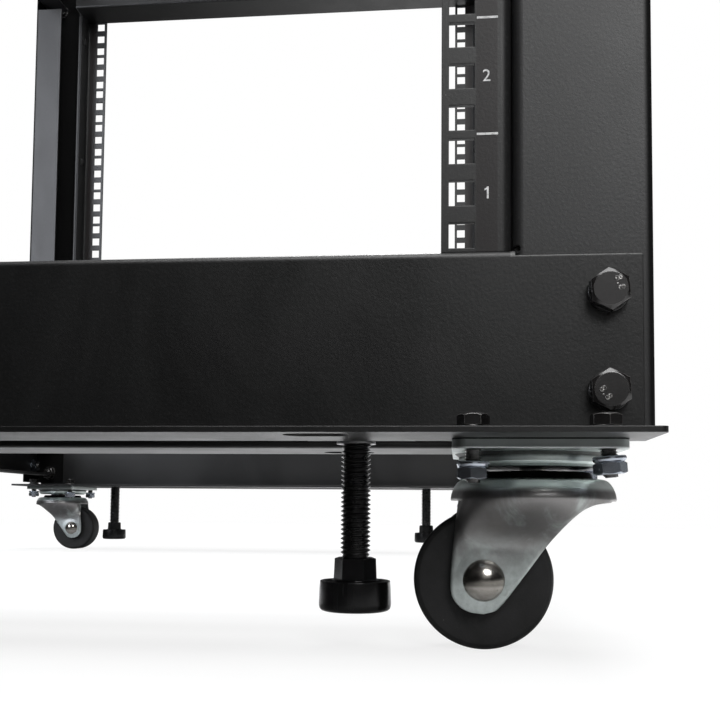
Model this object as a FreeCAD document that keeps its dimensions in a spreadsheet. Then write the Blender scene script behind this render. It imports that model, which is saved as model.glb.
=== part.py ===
import FreeCAD, Part
import Sketcher
import math
import os

# Four post open frame rack, 12 rack units high, on swivel casters with levelling feet.
# Millimetres. Origin on the floor under the middle of the rack, +Z up, the front at -Y.

V = FreeCAD.Vector
doc = FreeCAD.newDocument("open_frame_rack")
sheet = doc.addObject("Spreadsheet::Sheet", "Sizes")

SIZES = [
    ("rack_width", 603.6),          # outside of the posts
    ("rail_half_gap", 225.0),       # half of the clear opening between the rails
    ("hole_half_pitch", 232.55),    # centre of the square holes from the middle of the rack
    ("square_hole", 9.5),
    ("unit_pitch", 44.45),
    ("unit_count", 12.0),
    ("hole_low", 6.35),
    ("hole_mid", 22.225),
    ("hole_high", 38.1),
    ("flange_depth", 810.0),        # front rail face to rear rail face
    ("sheet_metal", 2.0),
    ("bend_out", 4.0),
    ("bend_in", 2.0),
    ("post_depth", 42.0),
    ("inner_leg", 24.0),            # the rail's leg, and the post's leg beside it
    ("post_joint", 251.1),          # plane where the rail's leg and the post's leg meet
    ("post_return", 33.0),
    ("post_bottom", 81.5),
    ("unit_bottom", 146.0),         # underside of the first rack unit, and top of the base bar
    ("bar_half_length", 297.4),
    ("bar_height", 69.8),
    ("bar_hollow", 38.0),
    ("bar_lip", 40.5),
    ("bar_bend_out", 2.6),
    ("bar_bend_in", 0.6),
    ("notch_half", 250.8),
    ("bolt_hole_across", 285.0),
    ("bolt_hole_high", 129.6),
    ("bolt_hole_low", 94.1),
    ("bolt_hole_rad", 4.5),
    ("relief_rad", 1.3),
    ("caster_across", 259.5),
    ("caster_bolt_dx", 22.8),
    ("caster_bolt_dy", 31.5),
    ("caster_bolt_rad", 3.3),
    ("slot_across", 183.6),
    ("slot_from_mid", 49.4),
    ("slot_long", 22.5),
    ("slot_wide", 12.5),
    ("side_rail_height", 50.0),
    ("side_rail_flange", 28.0),
    ("side_rail_low", 88.5),
    ("side_rail_start", 389.0),
    ("side_rail_overlap", 110.0),
    ("side_slot_wide", 8.6),
    ("side_slot_long", 56.0),
    ("plate_long", 77.0),
    ("plate_wide", 60.5),
    ("plate_thick", 3.6),
    ("race_rad", 27.8),
    ("race_low", 67.0),
    ("fork_high", 63.0),
    ("cap_rad", 30.9),
    ("fork_half_wide", 15.5),
    ("fork_sheet", 2.0),
    ("wheel_rad", 25.8),
    ("wheel_wide", 22.0),
    ("trail", 18.7),
    ("axle_rad", 3.95),
    ("axle_bore", 4.0),
    ("wheel_bore", 4.03),
    ("kingpin_rad", 4.95),
    ("kingpin_bore", 5.0),
    ("foot_across", 192.1),
    ("foot_rod_rad", 5.75),
    ("foot_bore", 5.83),
    ("foot_disc_rad", 13.9),
    ("foot_low", 12.5),
    ("foot_disc_thick", 11.6),
    ("foot_collar", 8.8),
    ("foot_rod_top", 98.5),
]


class Q:
    """A length with the sheet expression that drives it."""

    def __init__(self, value, text):
        self.v = float(value)
        self.t = text

    def _of(self, other):
        return other if isinstance(other, Q) else Q(other, "%.6g" % other)

    def __add__(self, o):
        o = self._of(o)
        return Q(self.v + o.v, "(%s + %s)" % (self.t, o.t))

    def __radd__(self, o):
        return self._of(o) + self

    def __sub__(self, o):
        o = self._of(o)
        return Q(self.v - o.v, "(%s - %s)" % (self.t, o.t))

    def __rsub__(self, o):
        return self._of(o) - self

    def __mul__(self, o):
        o = self._of(o)
        return Q(self.v * o.v, "(%s * %s)" % (self.t, o.t))

    def __rmul__(self, o):
        return self._of(o) * self

    def __truediv__(self, o):
        o = self._of(o)
        return Q(self.v / o.v, "(%s / %s)" % (self.t, o.t))

    def __neg__(self):
        return Q(-self.v, "(0 - %s)" % self.t)


S = {}
for row, (name, value) in enumerate(SIZES):
    sheet.set("A%d" % (row + 1), name)
    sheet.set("B%d" % (row + 1), "%.6g" % value)
    sheet.setAlias("B%d" % (row + 1), name)
    S[name] = Q(value, "Sizes." + name)
doc.recompute()


def q(x):
    return x if isinstance(x, Q) else Q(x, "%.6g" % x)


def bind(obj, prop, length):
    length = q(length)
    obj.setExpression(prop, length.t)


def put(obj, x=0.0, y=0.0, z=0.0):
    """Place an object, with the place driven by the sheet."""
    obj.Placement = FreeCAD.Placement(V(q(x).v, q(y).v, q(z).v), obj.Placement.Rotation)
    for prop, length in ((".Placement.Base.x", x), (".Placement.Base.y", y), (".Placement.Base.z", z)):
        bind(obj, prop, length)
    return obj


# ---------------------------------------------------------------- sketch helpers

def plane(body, role):
    for feature in body.Origin.OriginFeatures:
        if getattr(feature, "Role", "") == role:
            return feature
    raise RuntimeError("no plane " + role)


def new_body(name):
    body = doc.addObject("PartDesign::Body", name)
    body.Label = name
    return body


def new_sketch(body, name, role, lift=None):
    sk = body.newObject("Sketcher::SketchObject", name)
    sk.AttachmentSupport = [(plane(body, role), "")]
    sk.MapMode = "FlatFace"
    if lift is not None:
        sk.AttachmentOffset = FreeCAD.Placement(V(0, 0, q(lift).v), FreeCAD.Rotation())
        bind(sk, "AttachmentOffset.Base.z", lift)
    return sk


def pin_point(sk, geo, pos, x, y):
    """Tie one point of a sketch to the sketch's origin by two driven lengths."""
    for kind, value, axis in (("DistanceX", q(x), -2), ("DistanceY", q(y), -1)):
        if abs(value.v) < 1e-9:
            sk.addConstraint(Sketcher.Constraint("PointOnObject", geo, pos, axis))
        elif value.v > 0:
            n = sk.addConstraint(Sketcher.Constraint(kind, -1, 1, geo, pos, value.v))
            sk.setExpression("Constraints[%d]" % n, value.t)
        else:
            n = sk.addConstraint(Sketcher.Constraint(kind, geo, pos, -1, 1, -value.v))
            sk.setExpression("Constraints[%d]" % n, (-value).t)


def polygon(sk, points):
    pts = [(q(x), q(y)) for x, y in points]
    first = sk.GeometryCount
    count = len(pts)
    for i in range(count):
        a, b = pts[i], pts[(i + 1) % count]
        sk.addGeometry(Part.LineSegment(V(a[0].v, a[1].v, 0), V(b[0].v, b[1].v, 0)), False)
    for i in range(count):
        sk.addConstraint(Sketcher.Constraint("Coincident", first + i, 2, first + (i + 1) % count, 1))
    for i in range(count):
        pin_point(sk, first + i, 1, pts[i][0], pts[i][1])


def rectangle(sk, x0, y0, x1, y1):
    polygon(sk, [(x0, y0), (x1, y0), (x1, y1), (x0, y1)])


def circle(sk, x, y, rad):
    x, y, rad = q(x), q(y), q(rad)
    geo = sk.addGeometry(Part.Circle(V(x.v, y.v, 0), V(0, 0, 1), rad.v), False)
    pin_point(sk, geo, 3, x, y)
    n = sk.addConstraint(Sketcher.Constraint("Radius", geo, rad.v))
    sk.setExpression("Constraints[%d]" % n, rad.t)


def slot(sk, x, y, long, wide):
    """A slot with round ends along the sketch's first axis."""
    x, y, long, wide = q(x), q(y), q(long), q(wide)
    rad = wide / 2
    a = x - (long / 2 - rad)
    b = x + (long / 2 - rad)
    top, low = y + rad, y - rad
    first = sk.GeometryCount
    sk.addGeometry(Part.LineSegment(V(a.v, low.v, 0), V(b.v, low.v, 0)), False)
    sk.addGeometry(Part.Arc(V(b.v, low.v, 0), V(b.v + rad.v, y.v, 0), V(b.v, top.v, 0)), False)
    sk.addGeometry(Part.LineSegment(V(b.v, top.v, 0), V(a.v, top.v, 0)), False)
    sk.addGeometry(Part.Arc(V(a.v, top.v, 0), V(a.v - rad.v, y.v, 0), V(a.v, low.v, 0)), False)
    sk.addConstraint(Sketcher.Constraint("Coincident", first, 2, first + 1, 1))
    sk.addConstraint(Sketcher.Constraint("Coincident", first + 1, 2, first + 2, 1))
    sk.addConstraint(Sketcher.Constraint("Coincident", first + 2, 2, first + 3, 1))
    sk.addConstraint(Sketcher.Constraint("Coincident", first + 3, 2, first, 1))
    pin_point(sk, first + 1, 3, b, y)
    pin_point(sk, first + 3, 3, a, y)
    pin_point(sk, first, 1, a, low)
    pin_point(sk, first + 2, 1, b, top)


def pad(body, sk, name, length, midplane=False, reverse=False):
    feature = body.newObject("PartDesign::Pad", name)
    feature.Profile = sk
    bind(feature, "Length", length)
    feature.Midplane = midplane
    feature.Reversed = reverse
    doc.recompute()
    return feature


def pocket(body, sk, name, length, midplane=False, reverse=False):
    """Cut a sketch out of the body, and make sure that it does cut."""
    before = body.Shape.Volume
    feature = body.newObject("PartDesign::Pocket", name)
    feature.Profile = sk
    bind(feature, "Length", length)
    feature.Midplane = midplane
    feature.Reversed = reverse
    doc.recompute()
    if not body.Shape.Volume < before - 1e-3:
        raise RuntimeError("%s cuts nothing" % name)
    return feature


def edges_near(shape, direction, places, tol=0.05):
    """Names of the straight edges along an axis that pass through the given places."""
    axis = {"X": 0, "Y": 1, "Z": 2}[direction]
    found = []
    for i, edge in enumerate(shape.Edges):
        if not isinstance(edge.Curve, Part.Line):
            continue
        a, b = edge.Vertexes[0].Point, edge.Vertexes[-1].Point
        across = [k for k in range(3) if k != axis]
        if any(abs(a[k] - b[k]) > 1e-6 for k in across):
            continue
        for place in places:
            if all(place[k] is None or abs(a[k] - place[k]) < tol for k in across):
                if place[axis] is None or min(a[axis], b[axis]) - tol <= place[axis] <= max(a[axis], b[axis]) + tol:
                    found.append("Edge%d" % (i + 1))
                    break
    return found


def fillet(body, base, name, edges, rad, expect):
    if len(edges) != expect:
        raise RuntimeError("%s: %d edges found, %d wanted" % (name, len(edges), expect))
    feature = body.newObject("PartDesign::Fillet", name)
    feature.Base = (base, edges)
    bind(feature, "Radius", rad)
    doc.recompute()
    return feature


def mirrored(source, name, normal, base=(0, 0, 0), base_z=None):
    copy = doc.addObject("Part::Mirroring", name)
    copy.Label = name
    copy.Source = source
    copy.Normal = V(*normal)
    copy.Base = V(*base)
    if base_z is not None:
        copy.Base = V(0, 0, q(base_z).v)
        bind(copy, "Base.z", base_z)
    doc.recompute()
    return copy


# ---------------------------------------------------------------- driven lengths

half = S["rack_width"] / 2
face = S["flange_depth"] / 2              # rail face from the middle of the rack
th = S["sheet_metal"]
joint = S["post_joint"]
floor_u = S["unit_bottom"]
top_u = S["unit_bottom"] + S["unit_pitch"] * S["unit_count"]
lip_low = floor_u - S["bar_height"]
lip_top = lip_low + th
mid_twice = floor_u + top_u               # twice the height of the rack's mirror plane
bar_mid = face - S["bar_hollow"] / 2      # distance of the bar's middle plane from the rack's
post_top = mid_twice - S["post_bottom"]

PARTS = []


def keep(obj):
    PARTS.append(obj)
    return obj


# ---------------------------------------------------------------- mounting rails
# An angle: the flange with the square holes, and a leg back along the post.

rail = new_body("front_right_rail")
sk = new_sketch(rail, "rail_section", "XY_Plane", floor_u)
polygon(sk, [
    (S["rail_half_gap"], -face),
    (joint - 0.1, -face),
    (joint - 0.1, -face + S["inner_leg"]),
    (joint - 0.1 - th, -face + S["inner_leg"]),
    (joint - 0.1 - th, -face + th),
    (S["rail_half_gap"], -face + th),
])
feature = pad(rail, sk, "rail_length", top_u - floor_u)
out = edges_near(rail.Shape, "Z", [((joint - 0.1).v, -face.v, None)])
feature = fillet(rail, feature, "rail_bend_out", out, S["bend_out"], 1)
inner = edges_near(rail.Shape, "Z", [((joint - 0.1 - th).v, (-face + th).v, None)])
feature = fillet(rail, feature, "rail_bend_in", inner, S["bend_in"], 1)
sk = new_sketch(rail, "unit_holes", "XZ_Plane")
hw = S["square_hole"] / 2
for row in ("hole_low", "hole_mid", "hole_high"):
    zc = floor_u + S[row]
    rectangle(sk, S["hole_half_pitch"] - hw, zc - hw, S["hole_half_pitch"] + hw, zc + hw)
cut = pocket(rail, sk, "unit_pocket", face + 20, reverse=True)
pattern = rail.newObject("PartDesign::LinearPattern", "unit_pattern")
pattern.Originals = [cut]
pattern.Direction = (plane(rail, "Z_Axis"), [""])
bind(pattern, "Length", S["unit_pitch"] * (S["unit_count"] - 1))
bind(pattern, "Occurrences", S["unit_count"])
rail.Tip = pattern
doc.recompute()
keep(rail)
keep(mirrored(rail, "front_left_rail", (1, 0, 0)))
keep(mirrored(rail, "rear_right_rail", (0, 1, 0)))
keep(mirrored(PARTS[-1], "rear_left_rail", (1, 0, 0)))

# ---------------------------------------------------------------- posts
# The web faces outwards; the outer leg ends in a wide return, the inner leg is short.

post = new_body("front_right_post")
sk = new_sketch(post, "post_section", "XY_Plane", S["post_bottom"])
polygon(sk, [
    (joint, -face),
    (half, -face),
    (half, -face + S["post_depth"]),
    (half - S["post_return"], -face + S["post_depth"]),
    (half - S["post_return"], -face + S["post_depth"] - th),
    (half - th, -face + S["post_depth"] - th),
    (half - th, -face + th),
    (joint + th, -face + th),
    (joint + th, -face + S["inner_leg"]),
    (joint, -face + S["inner_leg"]),
])
feature = pad(post, sk, "post_length", post_top - S["post_bottom"])
feature = fillet(post, feature, "post_bend_out", edges_near(post.Shape, "Z", [
    (joint.v, -face.v, None)]), S["bend_out"], 1)
feature = fillet(post, feature, "post_bend_side", edges_near(post.Shape, "Z", [
    (half.v, -face.v, None), (half.v, (-face + S["post_depth"]).v, None)]), S["bar_bend_out"], 2)
feature = fillet(post, feature, "post_bend_in", edges_near(post.Shape, "Z", [
    ((joint + th).v, (-face + th).v, None)]), S["bend_in"], 1)
feature = fillet(post, feature, "post_bend_corner", edges_near(post.Shape, "Z", [
    ((half - th).v, (-face + th).v, None), ((half - th).v, (-face + S["post_depth"] - th).v, None)]),
    S["bar_bend_in"], 2)
# the return stops where the post enters the bars, so that the side rails can pass
sk = new_sketch(post, "return_notch", "XZ_Plane")
rectangle(sk, half - S["post_return"] - 1, S["post_bottom"] - 1, half - th, floor_u + 1)
rectangle(sk, half - S["post_return"] - 1, top_u - 1, half - th, post_top + 1)
pocket(post, sk, "return_pocket", face - S["post_depth"] + S["bar_bend_out"] + 0.5, reverse=True)
# bolt holes for the bars, and the relief hole at the bend above each bar
sk = new_sketch(post, "post_holes", "XZ_Plane")
for zc in (S["bolt_hole_low"], S["bolt_hole_high"], mid_twice - S["bolt_hole_high"], mid_twice - S["bolt_hole_low"]):
    circle(sk, S["bolt_hole_across"], zc, S["bolt_hole_rad"])
circle(sk, joint + 1.7, floor_u + 1.1, S["relief_rad"])
circle(sk, joint + 1.7, top_u - 1.1, S["relief_rad"])
pocket(post, sk, "post_hole_pocket", face + 20, reverse=True)
# bolt holes for the side rails through the outer leg
sk = new_sketch(post, "leg_holes", "YZ_Plane")
for zc in (S["side_rail_low"] + 14, S["side_rail_low"] + 36):
    circle(sk, -face + 27, zc, S["bolt_hole_rad"])
    circle(sk, -face + 27, mid_twice - zc, S["bolt_hole_rad"])
cut = pocket(post, sk, "leg_hole_pocket", half + 5, reverse=True)
keep(post)
keep(mirrored(post, "front_left_post", (1, 0, 0)))
keep(mirrored(post, "rear_right_post", (0, 1, 0)))
keep(mirrored(PARTS[-1], "rear_left_post", (1, 0, 0)))

# ---------------------------------------------------------------- base and top bars
# A hat section: fascia, top plate and rear wall, with a lip out to each side.

bar = new_body("front_base_bar")
sk = new_sketch(bar, "bar_section", "YZ_Plane")
y_out = -face - th                       # outer face of the fascia
y_in = -face + S["bar_hollow"] + th      # outer face of the rear wall
polygon(sk, [
    (y_out - S["bar_lip"], lip_low),
    (y_out + th, lip_low),
    (y_out + th, floor_u - th),
    (y_in - th, floor_u - th),
    (y_in - th, lip_low),
    (y_in + S["bar_lip"], lip_low),
    (y_in + S["bar_lip"], lip_top),
    (y_in, lip_top),
    (y_in, floor_u),
    (y_out, floor_u),
    (y_out, lip_top),
    (y_out - S["bar_lip"], lip_top),
])
feature = pad(bar, sk, "bar_length", S["bar_half_length"] * 2, midplane=True)
feature = fillet(bar, feature, "bar_bend_outer", edges_near(bar.Shape, "X", [
    (None, y_out.v, floor_u.v), (None, y_in.v, floor_u.v),
    (None, (y_out + th).v, lip_low.v), (None, (y_in - th).v, lip_low.v)]), S["bar_bend_out"], 4)
feature = fillet(bar, feature, "bar_bend_inner", edges_near(bar.Shape, "X", [
    (None, (y_out + th).v, (floor_u - th).v), (None, (y_in - th).v, (floor_u - th).v),
    (None, y_out.v, lip_top.v), (None, y_in.v, lip_top.v)]), S["bar_bend_in"], 4)
# the ends of the top plate and of the rear wall are cut away for the posts and side rails
sk = new_sketch(bar, "end_notch", "XY_Plane", lip_top)
rectangle(sk, S["notch_half"], -face, S["bar_half_length"] + 5, y_in + 3)
rectangle(sk, -S["bar_half_length"] - 5, -face, -S["notch_half"], y_in + 3)
pocket(bar, sk, "end_pocket", S["bar_height"], reverse=True)
# past the notch the fascia goes on as a plain ear with a cut edge
sk = new_sketch(bar, "round_trim", "XZ_Plane")
for side in (-1, 1):
    rectangle(sk, (S["notch_half"] + 1.2) * side, floor_u - 5, (S["bar_half_length"] + 3) * side, floor_u + 3)
pocket(bar, sk, "round_trim_pocket", face + 20, reverse=True)
sk = new_sketch(bar, "ear", "XZ_Plane", face)
for side in (-1, 1):
    rectangle(sk, (S["notch_half"] + 1.2) * side, floor_u - 5, S["bar_half_length"] * side, floor_u - 2.0)
pad(bar, sk, "ear_sheet", th)
# the holes of the lips: caster bolts and anchor slots
sk = new_sketch(bar, "lip_holes", "XY_Plane")
for side in (-1, 1):
    for dx in (-1, 1):
        for dy in (-1, 1):
            circle(sk, (S["caster_across"] + S["caster_bolt_dx"] * dx) * side,
                   -bar_mid + S["caster_bolt_dy"] * dy, S["caster_bolt_rad"])
    for dy in (-1, 1):
        slot(sk, S["slot_across"] * side, -bar_mid + S["slot_from_mid"] * dy, S["slot_long"], S["slot_wide"])
pocket(bar, sk, "lip_pocket", lip_top + 3, reverse=True)
sk = new_sketch(bar, "fascia_holes", "XZ_Plane")
for side in (-1, 1):
    for zc in (S["bolt_hole_low"], S["bolt_hole_high"]):
        circle(sk, S["bolt_hole_across"] * side, zc, S["bolt_hole_rad"])
cut = pocket(bar, sk, "fascia_pocket", face + 20, reverse=True)
ends = []
for side in (-1, 1):
    ends += edges_near(bar.Shape, "Z", [(side * S["bar_half_length"].v, (y_out - S["bar_lip"]).v, None),
                                        (side * S["bar_half_length"].v, (y_in + S["bar_lip"]).v, None)])
cut = fillet(bar, cut, "bar_corners", ends, 2.5, 4)
tips = []
for side in (-1, 1):
    tips += edges_near(bar.Shape, "Y", [(side * S["bar_half_length"].v, y_out.v + 1, floor_u.v - 2.0)])
fillet(bar, cut, "ear_corners", tips, 1.0, 2)
keep(bar)
keep(mirrored(bar, "rear_base_bar", (0, 1, 0)))
keep(mirrored(bar, "front_top_bar", (0, 0, 1), base_z=mid_twice / 2))
keep(mirrored(PARTS[-1], "rear_top_bar", (0, 1, 0)))

# ---------------------------------------------------------------- side rails
# Two channels a side that slide in each other, so that the depth can be set.

def side_rail(name, inset, y0, y1, z_low, z_high, slot_centres, hole_y):
    body = new_body(name)
    sk = new_sketch(body, name + "_section", "XZ_Plane")
    x_web = half - th - inset
    polygon(sk, [
        (x_web, z_low), (x_web, z_high), (half - th - S["side_rail_flange"], z_high),
        (half - th - S["side_rail_flange"], z_high - th), (x_web - th, z_high - th), (x_web - th, z_low + th),
        (half - th - S["side_rail_flange"], z_low + th), (half - th - S["side_rail_flange"], z_low),
    ])
    feature = pad(body, sk, name + "_length", q(y1) - y0)
    # the section is padded towards -Y, from the rear end
    feature = fillet(body, feature, name + "_bend_out", edges_near(body.Shape, "Y", [
        (x_web.v, None, z_low.v), (x_web.v, None, z_high.v)]), S["bar_bend_out"], 2)
    feature = fillet(body, feature, name + "_bend_in", edges_near(body.Shape, "Y", [
        ((x_web - th).v, None, (z_low + th).v), ((x_web - th).v, None, (z_high - th).v)]), S["bar_bend_in"], 2)
    sk = new_sketch(body, name + "_holes", "YZ_Plane")
    zc = (z_low + z_high) / 2
    for centre in slot_centres:
        slot(sk, q(centre) - y1, zc, S["side_slot_long"], S["side_slot_wide"])
    for dz in (-11, 11):
        circle(sk, q(hole_y) - y1, zc + dz, S["bolt_hole_rad"])
    pocket(body, sk, name + "_pocket", half + 5, reverse=True)
    put(body, 0, y1, 0)
    doc.recompute()
    return body


low = S["side_rail_low"]
high = low + S["side_rail_height"]
overlap = S["side_rail_overlap"]
front_rail = side_rail("right_base_rail_front", q(0), -S["side_rail_start"], overlap, low, high,
                       (q(-60), q(38)), -face + 27)
keep(front_rail)
rear_rail = side_rail("right_base_rail_rear", th, -overlap, S["side_rail_start"], low + th, high - th,
                      (q(-38), q(60)), face - 27)
keep(rear_rail)
keep(mirrored(front_rail, "left_base_rail_front", (1, 0, 0)))
keep(mirrored(rear_rail, "left_base_rail_rear", (1, 0, 0)))
keep(mirrored(front_rail, "right_top_rail_front", (0, 0, 1), base_z=mid_twice / 2))
keep(mirrored(PARTS[-1], "left_top_rail_front", (1, 0, 0)))
keep(mirrored(rear_rail, "right_top_rail_rear", (0, 0, 1), base_z=mid_twice / 2))
keep(mirrored(PARTS[-1], "left_top_rail_rear", (1, 0, 0)))


# ---------------------------------------------------------------- casters

def caster_plate(name):
    """The top plate with its four bolt holes and the pressed race under it."""
    body = new_body(name)
    sk = new_sketch(body, name + "_outline", "XY_Plane", lip_low - S["plate_thick"])
    rectangle(sk, -S["plate_wide"] / 2, -S["plate_long"] / 2, S["plate_wide"] / 2, S["plate_long"] / 2)
    feature = pad(body, sk, name + "_sheet", S["plate_thick"])
    corners = edges_near(body.Shape, "Z", [(sx * S["plate_wide"].v / 2, sy * S["plate_long"].v / 2, None)
                                           for sx in (-1, 1) for sy in (-1, 1)])
    feature = fillet(body, feature, name + "_corners", corners, 5, 4)
    sk = new_sketch(body, name + "_race", "XZ_Plane")
    up = lip_low - S["plate_thick"]
    polygon(sk, [(0, S["race_low"]), (S["race_rad"] - 2.0, S["race_low"]), (S["race_rad"], S["race_low"] + 1.9),
                 (S["race_rad"], up - 1.2), (S["race_rad"] + 1.6, up), (S["race_rad"] + 1.6, up + 0.5), (0, up + 0.5)])
    turn = body.newObject("PartDesign::Revolution", name + "_dish")
    turn.Profile = sk
    turn.ReferenceAxis = (plane(body, "Z_Axis"), [""])
    turn.Angle = 360.0
    doc.recompute()
    sk = new_sketch(body, name + "_bores", "XY_Plane")
    for dx in (-1, 1):
        for dy in (-1, 1):
            circle(sk, S["caster_bolt_dx"] * dx, S["caster_bolt_dy"] * dy, S["caster_bolt_rad"])
    circle(sk, 0, 0, S["kingpin_bore"])
    pocket(body, sk, name + "_bore_pocket", lip_low + 5, reverse=True)
    return body


def smooth(points, parts):
    """Points of a smooth curve through the given points, with a few between each two."""
    out = []
    for i in range(len(points) - 1):
        p0, p1, p2 = points[max(i - 1, 0)], points[i], points[i + 1]
        p3 = points[min(i + 2, len(points) - 1)]
        for k in range(parts):
            t = k / parts
            out.append(tuple(round(0.5 * (2 * b + (c - a) * t + (2 * a - 5 * b + 4 * c - d) * t * t
                                          + (3 * b - a - 3 * c + d) * t * t * t), 4)
                             for a, b, c, d in zip(p0, p1, p2, p3)))
    return out + [points[-1]]


def caster_fork(name):
    """The pressed fork: a round cap with a short skirt, and two legs that reach back to the axle."""
    body = new_body(name)
    up = S["fork_high"]
    rad = S["cap_rad"]
    sheet_in = S["fork_sheet"]
    sk = new_sketch(body, name + "_cap", "XZ_Plane")
    polygon(sk, [(0, up), (rad - 3.3, up), (rad - 2.1, up - 0.9), (rad - 0.9, up - 3.5), (rad, up - 6.5),
                 (rad - 0.1, up - 8.1), (rad - 1.9, up - 8.1), (rad - 2.1, up - 6.5), (rad - 3.0, up - 3.8),
                 (rad - 4.0, up - sheet_in), (0, up - sheet_in)])
    turn = body.newObject("PartDesign::Revolution", name + "_pressed_cap")
    turn.Profile = sk
    turn.ReferenceAxis = (plane(body, "Z_Axis"), [""])
    turn.Angle = 360.0
    doc.recompute()
    # each leg hangs from inside the cap; its lower end is round about the axle
    curve = [(-28.9, 47.3), (-30.2, 34.5), (-30.7, 27.0), (-30.4, 20.9), (-27.8, 16.4), (-23.4, 14.2), (-18.8, 13.7),
             (-14.6, 14.8), (-11.0, 18.4), (-5.8, 25.3), (-1.0, 31.7), (3.6, 38.0), (10.0, 45.9), (13.2, 49.3),
             (16.6, 51.9), (21.4, 53.8), (27.6, 54.4)]
    outline = [(-23.0, up - 1), (-23.0, up - 8.2), (-28.0, up - 8.2)] + smooth(curve, 3) + [
        (27.6, up - 8.2), (23.0, up - 8.2), (23.0, up - 1)]
    wall = S["fork_half_wide"] - sheet_in
    for side, place in (("near", -wall), ("far", S["fork_half_wide"])):
        # the sketch plane faces -Y, so a lift of -y puts it at y
        sk = new_sketch(body, name + "_" + side + "_side", "XZ_Plane", -q(place))
        polygon(sk, outline)
        pad(body, sk, name + "_" + side + "_leg", sheet_in)
    sk = new_sketch(body, name + "_neck", "XY_Plane", up - 0.5)
    circle(sk, 0, 0, S["race_rad"] - 3)
    pad(body, sk, name + "_neck_disc", S["race_low"] - 0.3 - (up - 0.5))
    sk = new_sketch(body, name + "_pin_bore", "XY_Plane")
    circle(sk, 0, 0, S["kingpin_bore"])
    pocket(body, sk, name + "_pin_pocket", S["race_low"] + 5, reverse=True)
    sk = new_sketch(body, name + "_axle_bore", "XZ_Plane")
    circle(sk, -S["trail"], S["wheel_rad"], S["axle_bore"])
    pocket(body, sk, name + "_axle_pocket", 60, midplane=True)
    return body


def wheel(name):
    """The solid tread with a recess round the hub on each face."""
    body = new_body(name)
    sk = new_sketch(body, name + "_section", "XY_Plane")
    hw = S["wheel_wide"] / 2
    rad = S["wheel_rad"]
    half_section = [(S["wheel_bore"], -hw), (9.0, -hw), (9.4, -hw + 0.5), (rad - 2.2, -hw + 0.5), (rad - 0.9, -hw + 1.0),
                    (rad - 0.2, -hw + 2.0), (rad, -hw + 3.4)]
    polygon(sk, half_section + [(x, -q(y)) for x, y in reversed(half_section)])
    turn = body.newObject("PartDesign::Revolution", name + "_turned")
    turn.Profile = sk
    turn.ReferenceAxis = (plane(body, "Y_Axis"), [""])
    turn.Angle = 360.0
    doc.recompute()
    return body


def caster_pins(name):
    """The axle with its domed heads, and the riveted kingpin."""
    axle = doc.addObject("Part::Cylinder", name + "_axle")
    bind(axle, "Radius", S["axle_rad"])
    bind(axle, "Height", S["fork_half_wide"] * 2 + 1)
    axle.Placement = FreeCAD.Placement(V(-18.7, S["fork_half_wide"].v + 0.5, 25.8), FreeCAD.Rotation(V(1, 0, 0), 90))
    bind(axle, ".Placement.Base.x", -S["trail"])
    bind(axle, ".Placement.Base.y", S["fork_half_wide"] + 0.5)
    bind(axle, ".Placement.Base.z", S["wheel_rad"])
    heads = []
    for side in (-1, 1):
        # a dome is the cap of a sphere that stands on the fork's leg
        ball = doc.addObject("Part::Sphere", name + ("_dome_a" if side < 0 else "_dome_b"))
        ball.Radius = 9.34
        ball.Placement = FreeCAD.Placement(V(-18.7, side * (S["fork_half_wide"].v - 5.14), 25.8), FreeCAD.Rotation())
        bind(ball, ".Placement.Base.x", -S["trail"])
        bind(ball, ".Placement.Base.y", (S["fork_half_wide"] - 5.14) * side)
        bind(ball, ".Placement.Base.z", S["wheel_rad"])
        keepbox = doc.addObject("Part::Cylinder", ball.Name + "_cap")
        keepbox.Radius = 12
        keepbox.Height = 6
        rot = FreeCAD.Rotation(V(1, 0, 0), 90) if side < 0 else FreeCAD.Rotation(V(1, 0, 0), -90)
        keepbox.Placement = FreeCAD.Placement(V(-18.7, side * S["fork_half_wide"].v, 25.8), rot)
        bind(keepbox, ".Placement.Base.x", -S["trail"])
        bind(keepbox, ".Placement.Base.y", S["fork_half_wide"] * side)
        bind(keepbox, ".Placement.Base.z", S["wheel_rad"])
        dome = doc.addObject("Part::Common", ball.Name + "_head")
        dome.Base, dome.Tool = ball, keepbox
        heads.append(dome)
    stem = doc.addObject("Part::Cylinder", name + "_stem")
    bind(stem, "Radius", S["kingpin_rad"])
    bind(stem, "Height", lip_low + 0.9 - (S["fork_high"] - S["fork_sheet"]))
    put(stem, 0, 0, S["fork_high"] - S["fork_sheet"] - 0.3)
    under = doc.addObject("Part::Cone", name + "_under")
    under.Radius1, under.Radius2, under.Height = 6.5, 8.5, 2.0
    put(under, 0, 0, S["fork_high"] - S["fork_sheet"] - 2.0)
    over = doc.addObject("Part::Cone", name + "_over")
    over.Radius1, over.Radius2, over.Height = 8.0, 6.0, 2.2
    put(over, 0, 0, lip_low + 0.3)
    doc.recompute()
    fuse = doc.addObject("Part::MultiFuse", name)
    fuse.Label = name
    fuse.Shapes = [axle] + heads + [stem, under, over]
    doc.recompute()
    return fuse


SIDES = (("front_right", 1, -1), ("front_left", -1, -1), ("rear_right", 1, 1), ("rear_left", -1, 1))


def to_corner(source, name, sx, sy):
    """A copy at its corner of the rack, mirrored so that each caster trails inwards."""
    where = (S["caster_across"] * sx, bar_mid * sy)
    shape = source.Shape.copy()
    if sx < 0:
        shape = shape.mirror(V(0, 0, 0), V(1, 0, 0))
    copy = doc.addObject("Part::Feature", name)
    copy.Label = name
    copy.Shape = shape
    return put(copy, where[0], where[1], 0)


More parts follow.
